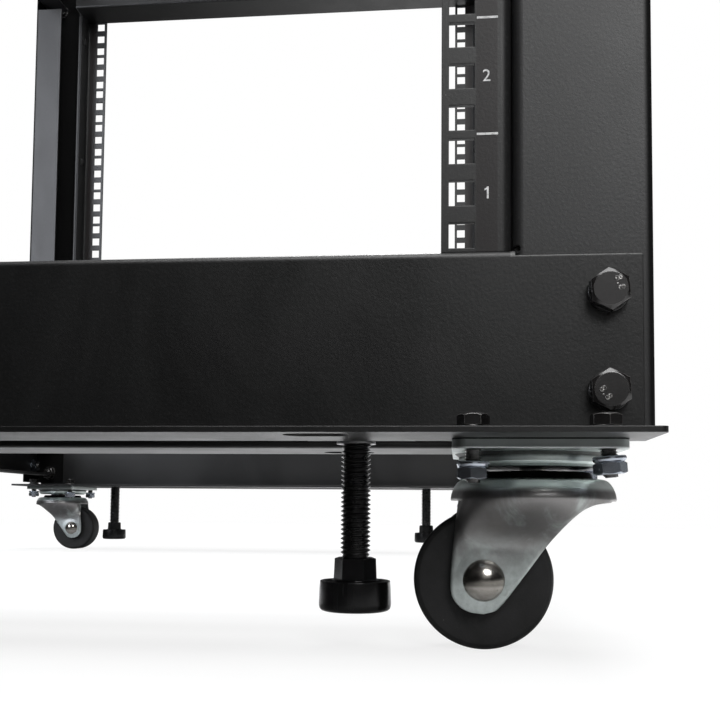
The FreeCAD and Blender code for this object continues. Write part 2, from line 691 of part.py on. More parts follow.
plate0 = caster_plate("plate_form")
fork0 = caster_fork("fork_form")
wheel0 = wheel("wheel_form")
pins0 = caster_pins("pins_form")
doc.recompute()
for corner, sx, sy in SIDES:
    keep(to_corner(plate0, corner + "_caster_plate", sx, sy))
    keep(to_corner(fork0, corner + "_caster_fork", sx, sy))
    keep(to_corner(pins0, corner + "_caster_pins", sx, sy))
    one = doc.addObject("Part::Feature", corner + "_caster_wheel")
    one.Label = corner + "_caster_wheel"
    one.Shape = wheel0.Shape.copy()
    keep(put(one, (S["caster_across"] - S["trail"]) * sx, bar_mid * sy, S["wheel_rad"]))

# ---------------------------------------------------------------- levelling feet

foot = new_body("foot_form")
sk = new_sketch(foot, "foot_section", "XZ_Plane")
disc_top = S["foot_low"] + S["foot_disc_thick"]
collar_top = disc_top + S["foot_collar"]
disc = S["foot_disc_rad"]
polygon(sk, [(0, S["foot_low"]), (disc - 1.9, S["foot_low"]), (disc - 0.5, S["foot_low"] + 0.6), (disc, S["foot_low"] + 1.9),
             (disc - 0.4, disc_top - 0.5), (disc - 0.8, disc_top), (disc - 1.6, disc_top), (disc - 2.1, disc_top - 1.4),
             (9.2, disc_top - 1.4), (9.2, disc_top + 0.4), (6.2, disc_top + 0.4), (6.2, collar_top),
             (S["foot_rod_rad"], collar_top), (S["foot_rod_rad"], S["foot_rod_top"] - 1),
             (S["foot_rod_rad"] - 1, S["foot_rod_top"]), (0, S["foot_rod_top"])])
turn = foot.newObject("PartDesign::Revolution", "foot_turned")
turn.Profile = sk
turn.ReferenceAxis = (plane(foot, "Z_Axis"), [""])
turn.Angle = 360.0
doc.recompute()
sk = new_sketch(foot, "foot_hexagon", "XY_Plane", disc_top)
hexa = 13.8 / math.sqrt(3)
polygon(sk, [(hexa * math.cos(math.radians(30 + 60 * k)), hexa * math.sin(math.radians(30 + 60 * k))) for k in range(6)])
pad(foot, sk, "foot_collar", S["foot_collar"])


def foot_nut():
    """The strap welded in the bar's hollow, with the weld nut that the foot screws into."""
    strap = doc.addObject("Part::Box", "foot_strap")
    strap.Length = 44
    bind(strap, "Width", S["bar_hollow"])
    strap.Height = 3
    put(strap, -22, -(S["bar_hollow"] / 2), lip_top + 0.8)
    nut = doc.addObject("Part::Prism", "foot_nut_hexagon")
    nut.Polygon = 6
    nut.Circumradius = 10
    nut.Height = 9
    put(nut, 0, 0, lip_top + 3.8)
    boss = doc.addObject("Part::Cylinder", "foot_nut_boss")
    boss.Radius = 7.6
    boss.Height = 3
    put(boss, 0, 0, lip_low + 0.2)
    body = doc.addObject("Part::MultiFuse", "foot_nut_body")
    body.Shapes = [strap, nut, boss]
    bore = doc.addObject("Part::Cylinder", "foot_nut_bore")
    bind(bore, "Radius", S["foot_bore"])
    bore.Height = 40
    put(bore, 0, 0, 60)
    cut = doc.addObject("Part::Cut", "foot_nut_form")
    cut.Base, cut.Tool = body, bore
    doc.recompute()
    return cut


nut0 = foot_nut()
for corner, sx, sy in SIDES:
    for source, name in ((foot, corner + "_levelling_foot"), (nut0, corner + "_foot_nut")):
        one = doc.addObject("Part::Feature", name)
        one.Label = name
        one.Shape = source.Shape.copy()
        keep(put(one, S["foot_across"] * sx, bar_mid * sy, 0))

# ---------------------------------------------------------------- check and write

doc.recompute()
bad = []
for obj in doc.Objects:
    if "Invalid" in obj.State or "Error" in obj.State:
        bad.append(obj.Name + " " + str(obj.State))
for obj in PARTS:
    if obj.Shape.isNull() or not obj.Shape.isValid() or not obj.Shape.Solids:
        bad.append(obj.Label + " has no valid shape")
if bad:
    raise RuntimeError("; ".join(bad))

os.makedirs("parts", exist_ok=True)
total = FreeCAD.BoundBox()
for obj in PARTS:
    obj.Shape.exportStep(os.path.join("parts", obj.Label + ".step"))
    total.add(obj.Shape.BoundBox)
    print("%-26s solids %d  volume %10.1f" % (obj.Label, len(obj.Shape.Solids), obj.Shape.Volume))
print("nodes", len(PARTS), "box", total)
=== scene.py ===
import math
import random

import bmesh
import bpy
from mathutils import Matrix, Vector


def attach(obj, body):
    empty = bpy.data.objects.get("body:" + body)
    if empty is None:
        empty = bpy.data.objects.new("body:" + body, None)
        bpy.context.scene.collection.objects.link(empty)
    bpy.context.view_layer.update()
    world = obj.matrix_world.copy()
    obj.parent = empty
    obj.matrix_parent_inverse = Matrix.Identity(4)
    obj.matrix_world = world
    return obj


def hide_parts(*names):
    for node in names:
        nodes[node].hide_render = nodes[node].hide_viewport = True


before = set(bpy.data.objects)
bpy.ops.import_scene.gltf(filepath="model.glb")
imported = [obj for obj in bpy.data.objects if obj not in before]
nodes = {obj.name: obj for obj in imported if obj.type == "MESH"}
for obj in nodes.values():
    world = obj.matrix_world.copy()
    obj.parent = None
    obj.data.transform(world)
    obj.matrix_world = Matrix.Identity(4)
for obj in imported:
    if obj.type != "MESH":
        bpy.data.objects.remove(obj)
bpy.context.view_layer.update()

MM = 0.001
CORNERS = (("front_right", 1, -1), ("front_left", -1, -1), ("rear_right", 1, 1), ("rear_left", -1, 1))
LEVELS = (("base", lambda z: z), ("top", lambda z: 825.4 - z))
chance = random.Random(12)

# heights and distances of the CAD model, in millimetres
FACE, MID, HALF = 405.0, 386.0, 301.8      # rail face, middle of a bar, outside of a post
LIP_LOW, LIP_TOP, UNIT_0, UNIT = 76.2, 78.2, 146.0, 44.45
CASTER_X, FOOT_X, TRAIL = 259.5, 192.1, 18.7


# ---------------------------------------------------------------- camera

def look(cam, place, yaw, pitch, roll):
    forward = Vector((-math.sin(yaw) * math.cos(pitch), math.cos(yaw) * math.cos(pitch), math.sin(pitch)))
    right = Vector((math.cos(yaw), math.sin(yaw), 0.0))
    up = right.cross(forward)
    r2 = right * math.cos(roll) + up * math.sin(roll)
    u2 = -right * math.sin(roll) + up * math.cos(roll)
    m = Matrix((r2, u2, -forward)).transposed().to_4x4()
    m.translation = Vector(place)
    cam.matrix_world = m


cam_data = bpy.data.cameras.new("camera")
cam_data.sensor_width = 36.0
cam_data.lens = 47.4655
cam_data.shift_y = 0.12557       # the photograph is a crop: its optical axis lies below its middle
cam_data.clip_start = 0.01
cam_data.clip_end = 100.0
camera = bpy.data.objects.new("camera", cam_data)
bpy.context.scene.collection.objects.link(camera)
bpy.context.scene.camera = camera
look(camera, (0.23218, -0.751326, 0.051222), 0.1053, 0.0621, 0.0084)


# ---------------------------------------------------------------- material nodes

class Net:
    """A node material, with short names for the nodes that the finishes share."""

    def __init__(self, name):
        self.mat = bpy.data.materials.new(name)
        self.mat.use_nodes = True
        self.tree = self.mat.node_tree
        self.tree.nodes.clear()
        out = self.tree.nodes.new("ShaderNodeOutputMaterial")
        self.sh = self.tree.nodes.new("ShaderNodeBsdfPrincipled")
        self.tree.links.new(self.sh.outputs["BSDF"], out.inputs["Surface"])
        self.place = self.tree.nodes.new("ShaderNodeTexCoord").outputs["Object"]

    def put(self, node, key, value):
        if isinstance(value, bpy.types.NodeSocket):
            self.tree.links.new(value, node.inputs[key])
        else:
            node.inputs[key].default_value = value

    def add(self, kind, ins=None, **props):
        node = self.tree.nodes.new(kind)
        for key, value in props.items():
            setattr(node, key, value)
        for key, value in (ins or {}).items():
            self.put(node, key, value)
        return node

    def set(self, **values):
        for key, value in values.items():
            self.put(self.sh, key.replace("_", " "), value)

    def stretched(self, scale, shift=(0, 0, 0)):
        return self.add("ShaderNodeMapping", {"Vector": self.place, "Scale": scale, "Location": shift}).outputs["Vector"]

    def noise(self, scale, detail=2.0, rough=0.5, stretch=None, shift=(0, 0, 0), warp=0.0):
        where = self.stretched(stretch or (1, 1, 1), shift)
        node = self.add("ShaderNodeTexNoise", {"Vector": where, "Scale": scale, "Detail": detail, "Roughness": rough,
                                               "Distortion": warp})
        return node.outputs["Fac"]

    def cells(self, scale, feature="F1", shift=(0, 0, 0)):
        return self.add("ShaderNodeTexVoronoi", {"Vector": self.stretched((1, 1, 1), shift), "Scale": scale},
                        feature=feature)

    def calc(self, op, a, b=None, c=None):
        node = self.add("ShaderNodeMath", {0: a}, operation=op)
        if b is not None:
            self.put(node, 1, b)
        if c is not None:
            self.put(node, 2, c)
        return node.outputs[0]

    def span(self, value, lo, hi, to_lo=0.0, to_hi=1.0, smooth=True):
        node = self.add("ShaderNodeMapRange", {"Value": value, "From Min": lo, "From Max": hi, "To Min": to_lo,
                                               "To Max": to_hi},
                        interpolation_type="SMOOTHSTEP" if smooth else "LINEAR")
        return node.outputs["Result"]

    def mix(self, fac, a, b, blend="MIX"):
        node = self.add("ShaderNodeMix", {0: fac, 6: a, 7: b}, data_type="RGBA", blend_type=blend)
        return node.outputs[2]

    def axis(self, name):
        return self.add("ShaderNodeSeparateXYZ", {0: self.place}).outputs[name]

    def soft_edges(self, radius):
        """The normal with its edges rounded, and a mask of those edges."""
        bevel = self.add("ShaderNodeBevel", {"Radius": radius}, samples=4).outputs["Normal"]
        plain = self.add("ShaderNodeNewGeometry").outputs["Normal"]
        dot = self.add("ShaderNodeVectorMath", {0: bevel, 1: plain}, operation="DOT_PRODUCT").outputs["Value"]
        return bevel, self.span(dot, 0.985, 0.86)

    def bump(self, height, strength, distance, normal=None):
        ins = {"Height": height, "Strength": strength, "Distance": distance}
        if normal is not None:
            ins["Normal"] = normal
        return self.add("ShaderNodeBump", ins).outputs["Normal"]


def rgb(r, g, b):
    return (r, g, b, 1.0)


def powder(name, dark, light, rough, grain=0.16, strip=False, edge=0.5, sheared_highlight=None, bend_shade=False):
    """Fine textured powder coat: a close grain, cloudy gloss, a little dust and paler cut edges."""
    n = Net(name)
    normal, rim = n.soft_edges(0.0006)
    cloud = n.noise(6.5, 4, 0.55)
    grit = n.noise(820, 3, 0.62)
    fine = n.noise(2300, 2, 0.5, shift=(3, 1, 2))
    colour = n.mix(n.span(cloud, 0.3, 0.7), rgb(*dark), rgb(*light))
    colour = n.mix(n.calc("MULTIPLY", n.span(grit, 0.52, 0.74), 0.55), colour, rgb(*[min(1, c * 2.0 + 0.004) for c in light]))
    # dust: a few specks of each cell grid, and only in some of the cells
    dust = n.cells(150)
    speck = n.calc("MULTIPLY", n.span(dust.outputs["Distance"], 0.05, 0.02),
                   n.span(n.add("ShaderNodeSeparateColor", {0: dust.outputs["Color"]}).outputs[0], 0.80, 0.86))
    colour = n.mix(n.calc("MULTIPLY", speck, 0.5), colour, rgb(0.14, 0.14, 0.135))
    smudge = n.noise(23, 5, 0.6, stretch=(1, 1, 0.45), shift=(5, 2, 9), warp=0.6)
    gloss = n.calc("ADD", n.span(smudge, 0.35, 0.7, rough + 0.035, rough - 0.04), n.calc("MULTIPLY", grit, 0.05))
    if strip:
        # the printed strip beside the holes is a little smoother and warmer
        across = n.calc("ABSOLUTE", n.axis("X"))
        band = n.calc("MULTIPLY", n.span(across, 0.2377, 0.2380), n.span(across, 0.2459, 0.2456))
        colour = n.mix(n.calc("MULTIPLY", band, 0.75), colour, rgb(0.0125, 0.0100, 0.0102))
        gloss = n.calc("SUBTRACT", gloss, n.calc("MULTIPLY", band, 0.02))
    colour = n.mix(n.calc("MULTIPLY", rim, edge * 0.5), colour, rgb(0.024, 0.024, 0.023))
    if strip:
        # painted shade: the rail's bend beside the joint with the post is given less reflection; the printed strip
        # reflects a little less too
        painted_shade = n.calc("MULTIPLY", n.span(across, 0.2462, 0.2485), n.span(across, 0.2516, 0.2514))
        n.set(Specular_IOR_Level=n.calc("SUBTRACT", 0.5, n.calc("ADD", n.calc("MULTIPLY", painted_shade, 0.30), n.calc("MULTIPLY", band, 0.14))))
    if bend_shade:
        # painted shade: the outer bend and the inside of the folded section are painted near black and made matt, in
        # place of the shade there
        across = n.calc("ABSOLUTE", n.axis("X"))
        along = n.calc("ABSOLUTE", n.axis("Y"))
        inside = n.calc("MULTIPLY", n.calc("MULTIPLY", n.span(across, 0.2524, 0.2530), n.span(across, 0.3006, 0.3000)),
                        n.calc("MULTIPLY", n.span(along, 0.3652, 0.3660), n.span(along, 0.4038, 0.4033)))
        painted_shade = n.calc("MAXIMUM", n.span(across, 0.2982, 0.3004), inside)
        n.set(Specular_IOR_Level=n.calc("SUBTRACT", 0.5, n.calc("MULTIPLY", painted_shade, 0.44)))
        colour = n.mix(n.calc("MULTIPLY", painted_shade, 0.8), colour, rgb(0.003, 0.003, 0.003))
        gloss = n.calc("ADD", gloss, n.calc("MULTIPLY", painted_shade, 0.2))
    if sheared_highlight:
        # a pale line painted along the sheared ends of the ears, above and below: a thin coat there, and partly a
        # painted highlight
        z = n.calc("ABSOLUTE", n.calc("SUBTRACT", n.axis("Z"), sheared_highlight[0]))
        line = n.calc("MULTIPLY", n.span(z, sheared_highlight[2], sheared_highlight[1]), n.span(n.noise(300, 3, 0.6, shift=(2, 9, 4)), 0.25, 0.5))
        line = n.calc("MULTIPLY", line, n.span(n.calc("ABSOLUTE", n.axis("X")), 0.2500, 0.2506))
        colour = n.mix(n.calc("MULTIPLY", line, 0.8), colour, rgb(0.10, 0.10, 0.10))
    gloss = n.calc("SUBTRACT", gloss, n.calc("MULTIPLY", rim, 0.06))
    n.set(Base_Color=colour, Roughness=gloss, Metallic=0.0, IOR=1.5)
    height = n.calc("ADD", grit, n.calc("MULTIPLY", fine, 0.4))
    n.set(Normal=n.bump(height, grain, 0.0004, normal))
    return n.mat


def zinc(name, low, high, rough, marks=0.5, upper_shade=None, dark=None, edge=0.0004, tint=None, shade_under=None, bands=()):
    """Zinc plate over rolled or pressed steel: cloudy patches, drawing lines, small dull marks."""
    n = Net(name)
    normal, rim = n.soft_edges(edge)
    cloud = n.noise(70, 5, 0.62, warp=0.5)
    small = n.noise(420, 4, 0.6, shift=(4, 7, 1))
    grit = n.noise(1900, 2, 0.5)
    shade = n.calc("ADD", n.calc("MULTIPLY", cloud, 0.65), n.calc("MULTIPLY", small, 0.35))
    colour = n.mix(n.span(shade, 0.36, 0.64), rgb(*low), rgb(*high))
    if upper_shade:
        # painted shade and painted reflection: the upper part of the legs is painted darker and browner, in patches
        z0, z1, upper_shade_tone = upper_shade
        rise = n.calc("ADD", n.axis("Z"), n.calc("MULTIPLY", n.calc("SUBTRACT", cloud, 0.5), 0.03))
        patch = n.noise(55, 4, 0.65, shift=(9, 3, 5), warp=0.8)
        upper_shade_mask = n.calc("MULTIPLY", n.span(rise, z0, z1), n.span(patch, 0.22, 0.50))
        colour = n.mix(n.calc("MULTIPLY", upper_shade_mask, 0.85), colour, rgb(*upper_shade_tone))
    if tint:
        colour = n.mix(n.span(n.noise(160, 3, 0.6, shift=(1, 8, 3)), 0.45, 0.7, 0.0, 0.55), colour, rgb(*tint))
    lines = n.noise(30, 3, 0.6, stretch=(1.0, 1.0, 38.0), shift=(2, 2, 2))
    mark = n.calc("MULTIPLY", n.span(n.noise(240, 5, 0.7, shift=(6, 6, 6)), 0.60, 0.72), marks)
    colour = n.mix(n.calc("MULTIPLY", mark, 0.5), colour, rgb(0.18, 0.175, 0.17))
    gloss = n.calc("ADD", n.span(shade, 0.3, 0.7, rough + 0.05, rough - 0.05), n.calc("MULTIPLY", mark, 0.16))
    for z0, z1, z2, z3, tone in bands:
        # painted light and shade in bands of height: on the plate, a painted highlight along its lower edge, painted
        # shade on its front edge, a painted shadow line under the lip, a painted light band on the dish and painted
        # black below it; on the fork, a painted highlight on the shoulder of the cap
        band = n.calc("MULTIPLY", n.span(n.axis("Z"), z0, z1), n.span(n.axis("Z"), z3, z2))
        colour = n.mix(n.calc("MULTIPLY", band, n.span(cloud, 0.2, 0.5, 0.7, 1.0)), colour, rgb(*tone))
    if shade_under:
        # painted shade: the corner between the plate and the dish is painted near black and duller
        z0, z1, z2, z3 = shade_under
        corner_painted_shade = n.calc("MULTIPLY", n.span(n.axis("Z"), z0, z1), n.span(n.axis("Z"), z3, z2))
        colour = n.mix(n.calc("MULTIPLY", corner_painted_shade, 0.9), colour, rgb(0.02, 0.019, 0.018))
        gloss = n.calc("ADD", gloss, n.calc("MULTIPLY", corner_painted_shade, 0.15))
    if dark:
        z0, z1 = dark
        # painted shade: above the top of the cap, on the neck, the zinc is painted near black and duller
        neck_painted_shade = n.span(n.axis("Z"), z0, z1)
        colour = n.mix(neck_painted_shade, colour, rgb(0.012, 0.011, 0.010))
        gloss = n.calc("ADD", gloss, n.calc("MULTIPLY", neck_painted_shade, 0.12))
    n.set(Base_Color=colour, Metallic=1.0, Roughness=gloss)
    height = n.calc("ADD", n.calc("MULTIPLY", small, 0.7), n.calc("ADD", n.calc("MULTIPLY", lines, 0.35),
                                                                   n.calc("MULTIPLY", grit, 0.25)))
    n.set(Normal=n.bump(height, 0.10, 0.0003, normal))
    return n.mat


def oxide(name, colour, rough, metal=0.35, edge=0.0003, wear_and_highlight=0.35, ior=1.6, spec=0.5):
    """Black oxide or black zinc on turned and rolled steel."""
    n = Net(name)
    normal, rim = n.soft_edges(edge)
    cloud = n.noise(190, 4, 0.6)
    fine = n.noise(1500, 3, 0.6)
    base = n.mix(n.span(cloud, 0.35, 0.68), rgb(*colour), rgb(*[c * 1.9 + 0.004 for c in colour]))
    # paler edges: wear through the oxide, and partly a painted highlight on the chamfers and rims
    base = n.mix(n.calc("MULTIPLY", rim, wear_and_highlight), base, rgb(0.34, 0.33, 0.32))
    n.set(Base_Color=base, Metallic=metal, IOR=ior, Specular_IOR_Level=spec,
          Roughness=n.span(cloud, 0.3, 0.7, rough + 0.06, rough - 0.05),
          Normal=n.bump(fine, 0.09, 0.0002, normal))
    return n.mat


def turned_steel(name):
    """Polished rivet heads, cloudy, with small pits."""
    n = Net(name)
    normal, rim = n.soft_edges(0.0003)
    cloud = n.noise(260, 4, 0.6, warp=0.4)
    fine = n.noise(1700, 3, 0.55)
    colour = n.mix(n.span(cloud, 0.35, 0.66), rgb(0.52, 0.49, 0.45), rgb(0.66, 0.64, 0.60))
    pit = n.cells(330, shift=(2, 5, 1))
    hole = n.calc("MULTIPLY", n.span(pit.outputs["Distance"], 0.16, 0.05),
                  n.span(n.add("ShaderNodeSeparateColor", {0: pit.outputs["Color"]}).outputs[1], 0.72, 0.78))
    colour = n.mix(n.calc("MULTIPLY", hole, 0.6), colour, rgb(0.10, 0.09, 0.07))
    # painted reflection: a band round the middle of the dome is painted darker
    painted_reflection_band = n.calc("MULTIPLY", n.span(n.axis("Z"), 0.0230, 0.0244), n.span(n.axis("Z"), 0.0290, 0.0268))
    colour = n.mix(n.calc("MULTIPLY", painted_reflection_band, n.span(cloud, 0.3, 0.6, 0.6, 0.85)), colour, rgb(0.10, 0.092, 0.08))
    n.set(Base_Color=colour, Metallic=1.0, Roughness=n.span(cloud, 0.3, 0.7, 0.26, 0.19),
          Normal=n.bump(n.calc("SUBTRACT", fine, hole), 0.10, 0.0002, normal))
    return n.mat


def tyre_black(name):
    """Hard moulded wheel: matt, with scuffs and a little dust on the tread."""
    n = Net(name)
    normal, rim = n.soft_edges(0.0005)
    cloud = n.noise(60, 4, 0.6)
    fine = n.noise(1300, 4, 0.62)
    scuff = n.noise(110, 5, 0.7, stretch=(1.0, 4.0, 1.0), shift=(3, 3, 8), warp=0.8)
    colour = n.mix(n.span(cloud, 0.3, 0.7), rgb(0.0085, 0.0085, 0.0085), rgb(0.014, 0.014, 0.0145))
    colour = n.mix(n.calc("MULTIPLY", n.span(scuff, 0.60, 0.78), 0.35), colour, rgb(0.045, 0.044, 0.042))
    colour = n.mix(n.calc("MULTIPLY", rim, 0.25), colour, rgb(0.045, 0.045, 0.045))
    dust = n.cells(380)
    speck = n.calc("MULTIPLY", n.span(dust.outputs["Distance"], 0.10, 0.04),
                   n.span(n.add("ShaderNodeSeparateColor", {0: dust.outputs["Color"]}).outputs[0], 0.86, 0.90))
    colour = n.mix(n.calc("MULTIPLY", speck, 0.45), colour, rgb(0.22, 0.21, 0.20))
    n.set(Base_Color=colour, Metallic=0.0, IOR=1.48, Specular_IOR_Level=0.36, Roughness=n.span(cloud, 0.3, 0.7, 0.62, 0.52),
          Normal=n.bump(fine, 0.16, 0.0003, normal))
    return n.mat


def moulded_black(name, rough=0.2):
    """Glossy moulded foot: faint flow bands, fine scratches and a soft haze."""
    n = Net(name)
    normal, rim = n.soft_edges(0.0004)
    bands = n.noise(210, 3, 0.55, stretch=(1, 1, 0.05))
    fine = n.noise(1500, 3, 0.6)
    scratch = n.noise(420, 4, 0.65, stretch=(1, 1, 0.12), shift=(8, 1, 4))
    colour = n.mix(n.span(bands, 0.35, 0.65), rgb(0.0035, 0.0035, 0.0037), rgb(0.0080, 0.0080, 0.0083))
    colour = n.mix(n.calc("MULTIPLY", n.span(scratch, 0.62, 0.75), 0.2), colour, rgb(0.07, 0.07, 0.07))
    n.set(Base_Color=colour, Metallic=0.0, IOR=1.5, Specular_IOR_Level=0.26, Roughness=n.span(bands, 0.3, 0.7, rough + 0.05, rough - 0.03),
          Normal=n.bump(fine, 0.06, 0.0002, normal))
    return n.mat


def print_white(name):
    """Screen printed ink, a little thin at places."""
    n = Net(name)
    thin = n.noise(900, 4, 0.65)
    colour = n.mix(n.span(thin, 0.30, 0.62), rgb(0.42, 0.42, 0.43), rgb(0.74, 0.74, 0.74))
    n.set(Base_Color=colour, Roughness=n.span(thin, 0.3, 0.7, 0.6, 0.48), Normal=n.bump(thin, 0.1, 0.0001))
    return n.mat


def bare_mark(name):
    """The raised mark of a bolt head, rubbed through the oxide."""
    n = Net(name)
    rub = n.noise(700, 3, 0.6)
    n.set(Base_Color=n.mix(n.span(rub, 0.42, 0.60), rgb(0.03, 0.028, 0.028), rgb(0.42, 0.41, 0.40)), Metallic=0.8,
          Roughness=n.span(rub, 0.3, 0.7, 0.46, 0.26), Normal=n.bump(rub, 0.6, 0.0006))
    return n.mat


MAT = {
    "mark": bare_mark("bolt_mark"),
    "post": powder("post_coat", (0.0085, 0.0085, 0.0090), (0.0125, 0.0125, 0.0130), 0.42, bend_shade=True),
    "rail": powder("rail_coat", (0.0075, 0.0076, 0.0078), (0.0115, 0.0116, 0.0118), 0.42, strip=True),
    "bar": powder("bar_coat", (0.0018, 0.0018, 0.0018), (0.0034, 0.0034, 0.0035), 0.38, sheared_highlight=(0.4127, 0.2689, 0.2695)),
    "side": powder("side_rail_coat", (0.0075, 0.0075, 0.0078), (0.0115, 0.0115, 0.0118), 0.42),
    "plate": zinc("plate_zinc", (0.36, 0.40, 0.39), (0.54, 0.59, 0.58), 0.33, marks=0.4,
                  shade_under=(0.0704, 0.0714, 0.07245, 0.07255),
                  bands=((0.0726, 0.0727, 0.0731, 0.0733, (0.90, 0.94, 0.93)), (0.0731, 0.0733, 0.0756, 0.0758, (0.40, 0.43, 0.425)),
                         (0.0756, 0.0758, 0.0765, 0.0767, (0.015, 0.015, 0.015)), (0.0680, 0.0683, 0.0700, 0.0708, (0.80, 0.87, 0.85)),
                         (0.060, 0.0605, 0.0671, 0.0674, (0.006, 0.006, 0.006)))),
    "fork": zinc("fork_zinc", (0.40, 0.44, 0.43), (0.56, 0.61, 0.60), 0.36, marks=0.5,
                 upper_shade=(0.0235, 0.0455, (0.20, 0.185, 0.185)), dark=(0.0631, 0.0635),
                 bands=((0.0578, 0.0600, 0.0628, 0.0640, (0.86, 0.93, 0.91)),)),
    "pin": turned_steel("rivet_steel"),
    "nut_zinc": zinc("nut_zinc", (0.40, 0.44, 0.50), (0.52, 0.56, 0.62), 0.24, marks=0.12, edge=0.0002,
                     tint=(0.48, 0.47, 0.55)),
    "nut": zinc("weld_nut_steel", (0.26, 0.26, 0.27), (0.38, 0.38, 0.38), 0.42, marks=0.6),
    "oxide": oxide("bolt_oxide", (0.0080, 0.0072, 0.0072), 0.21, edge=0.0004, wear_and_highlight=0.6, ior=1.85),
    "thread": oxide("thread_oxide", (0.0065, 0.0065, 0.0065), 0.30, metal=0.25, wear_and_highlight=0.12, edge=0.0001),
    "wheel": tyre_black("wheel_moulding"),
    "foot": moulded_black("foot_moulding"),
    "ink": print_white("printed_ink"),
    # the race is near black with almost no reflection: grease, and partly painted shade for the gap under the plate
    "race": oxide("race_grease_and_shade", (0.0015, 0.0014, 0.0013), 0.6, metal=0.0, wear_and_highlight=0.0, spec=0.04),
}

for name, obj in nodes.items():
    if name.endswith("_caster_plate"):
        key = "plate"
    elif name.endswith("_caster_fork"):
        key = "fork"
    elif name.endswith("_caster_pins"):
        key = "pin"
    elif name.endswith("_caster_wheel"):
        key = "wheel"
    elif name.endswith("_levelling_foot"):
        key = "foot"
    elif name.endswith("_foot_nut"):
        key = "nut"
    elif name.endswith("_bar"):
        key = "bar"
    elif name.endswith("_post"):
        key = "post"
    elif "_base_rail_" in name or "_top_rail_" in name:
        key = "side"
    else:
        key = "rail"
    for s in obj.material_slots:
        s.material = MAT[key]


# ---------------------------------------------------------------- mesh building

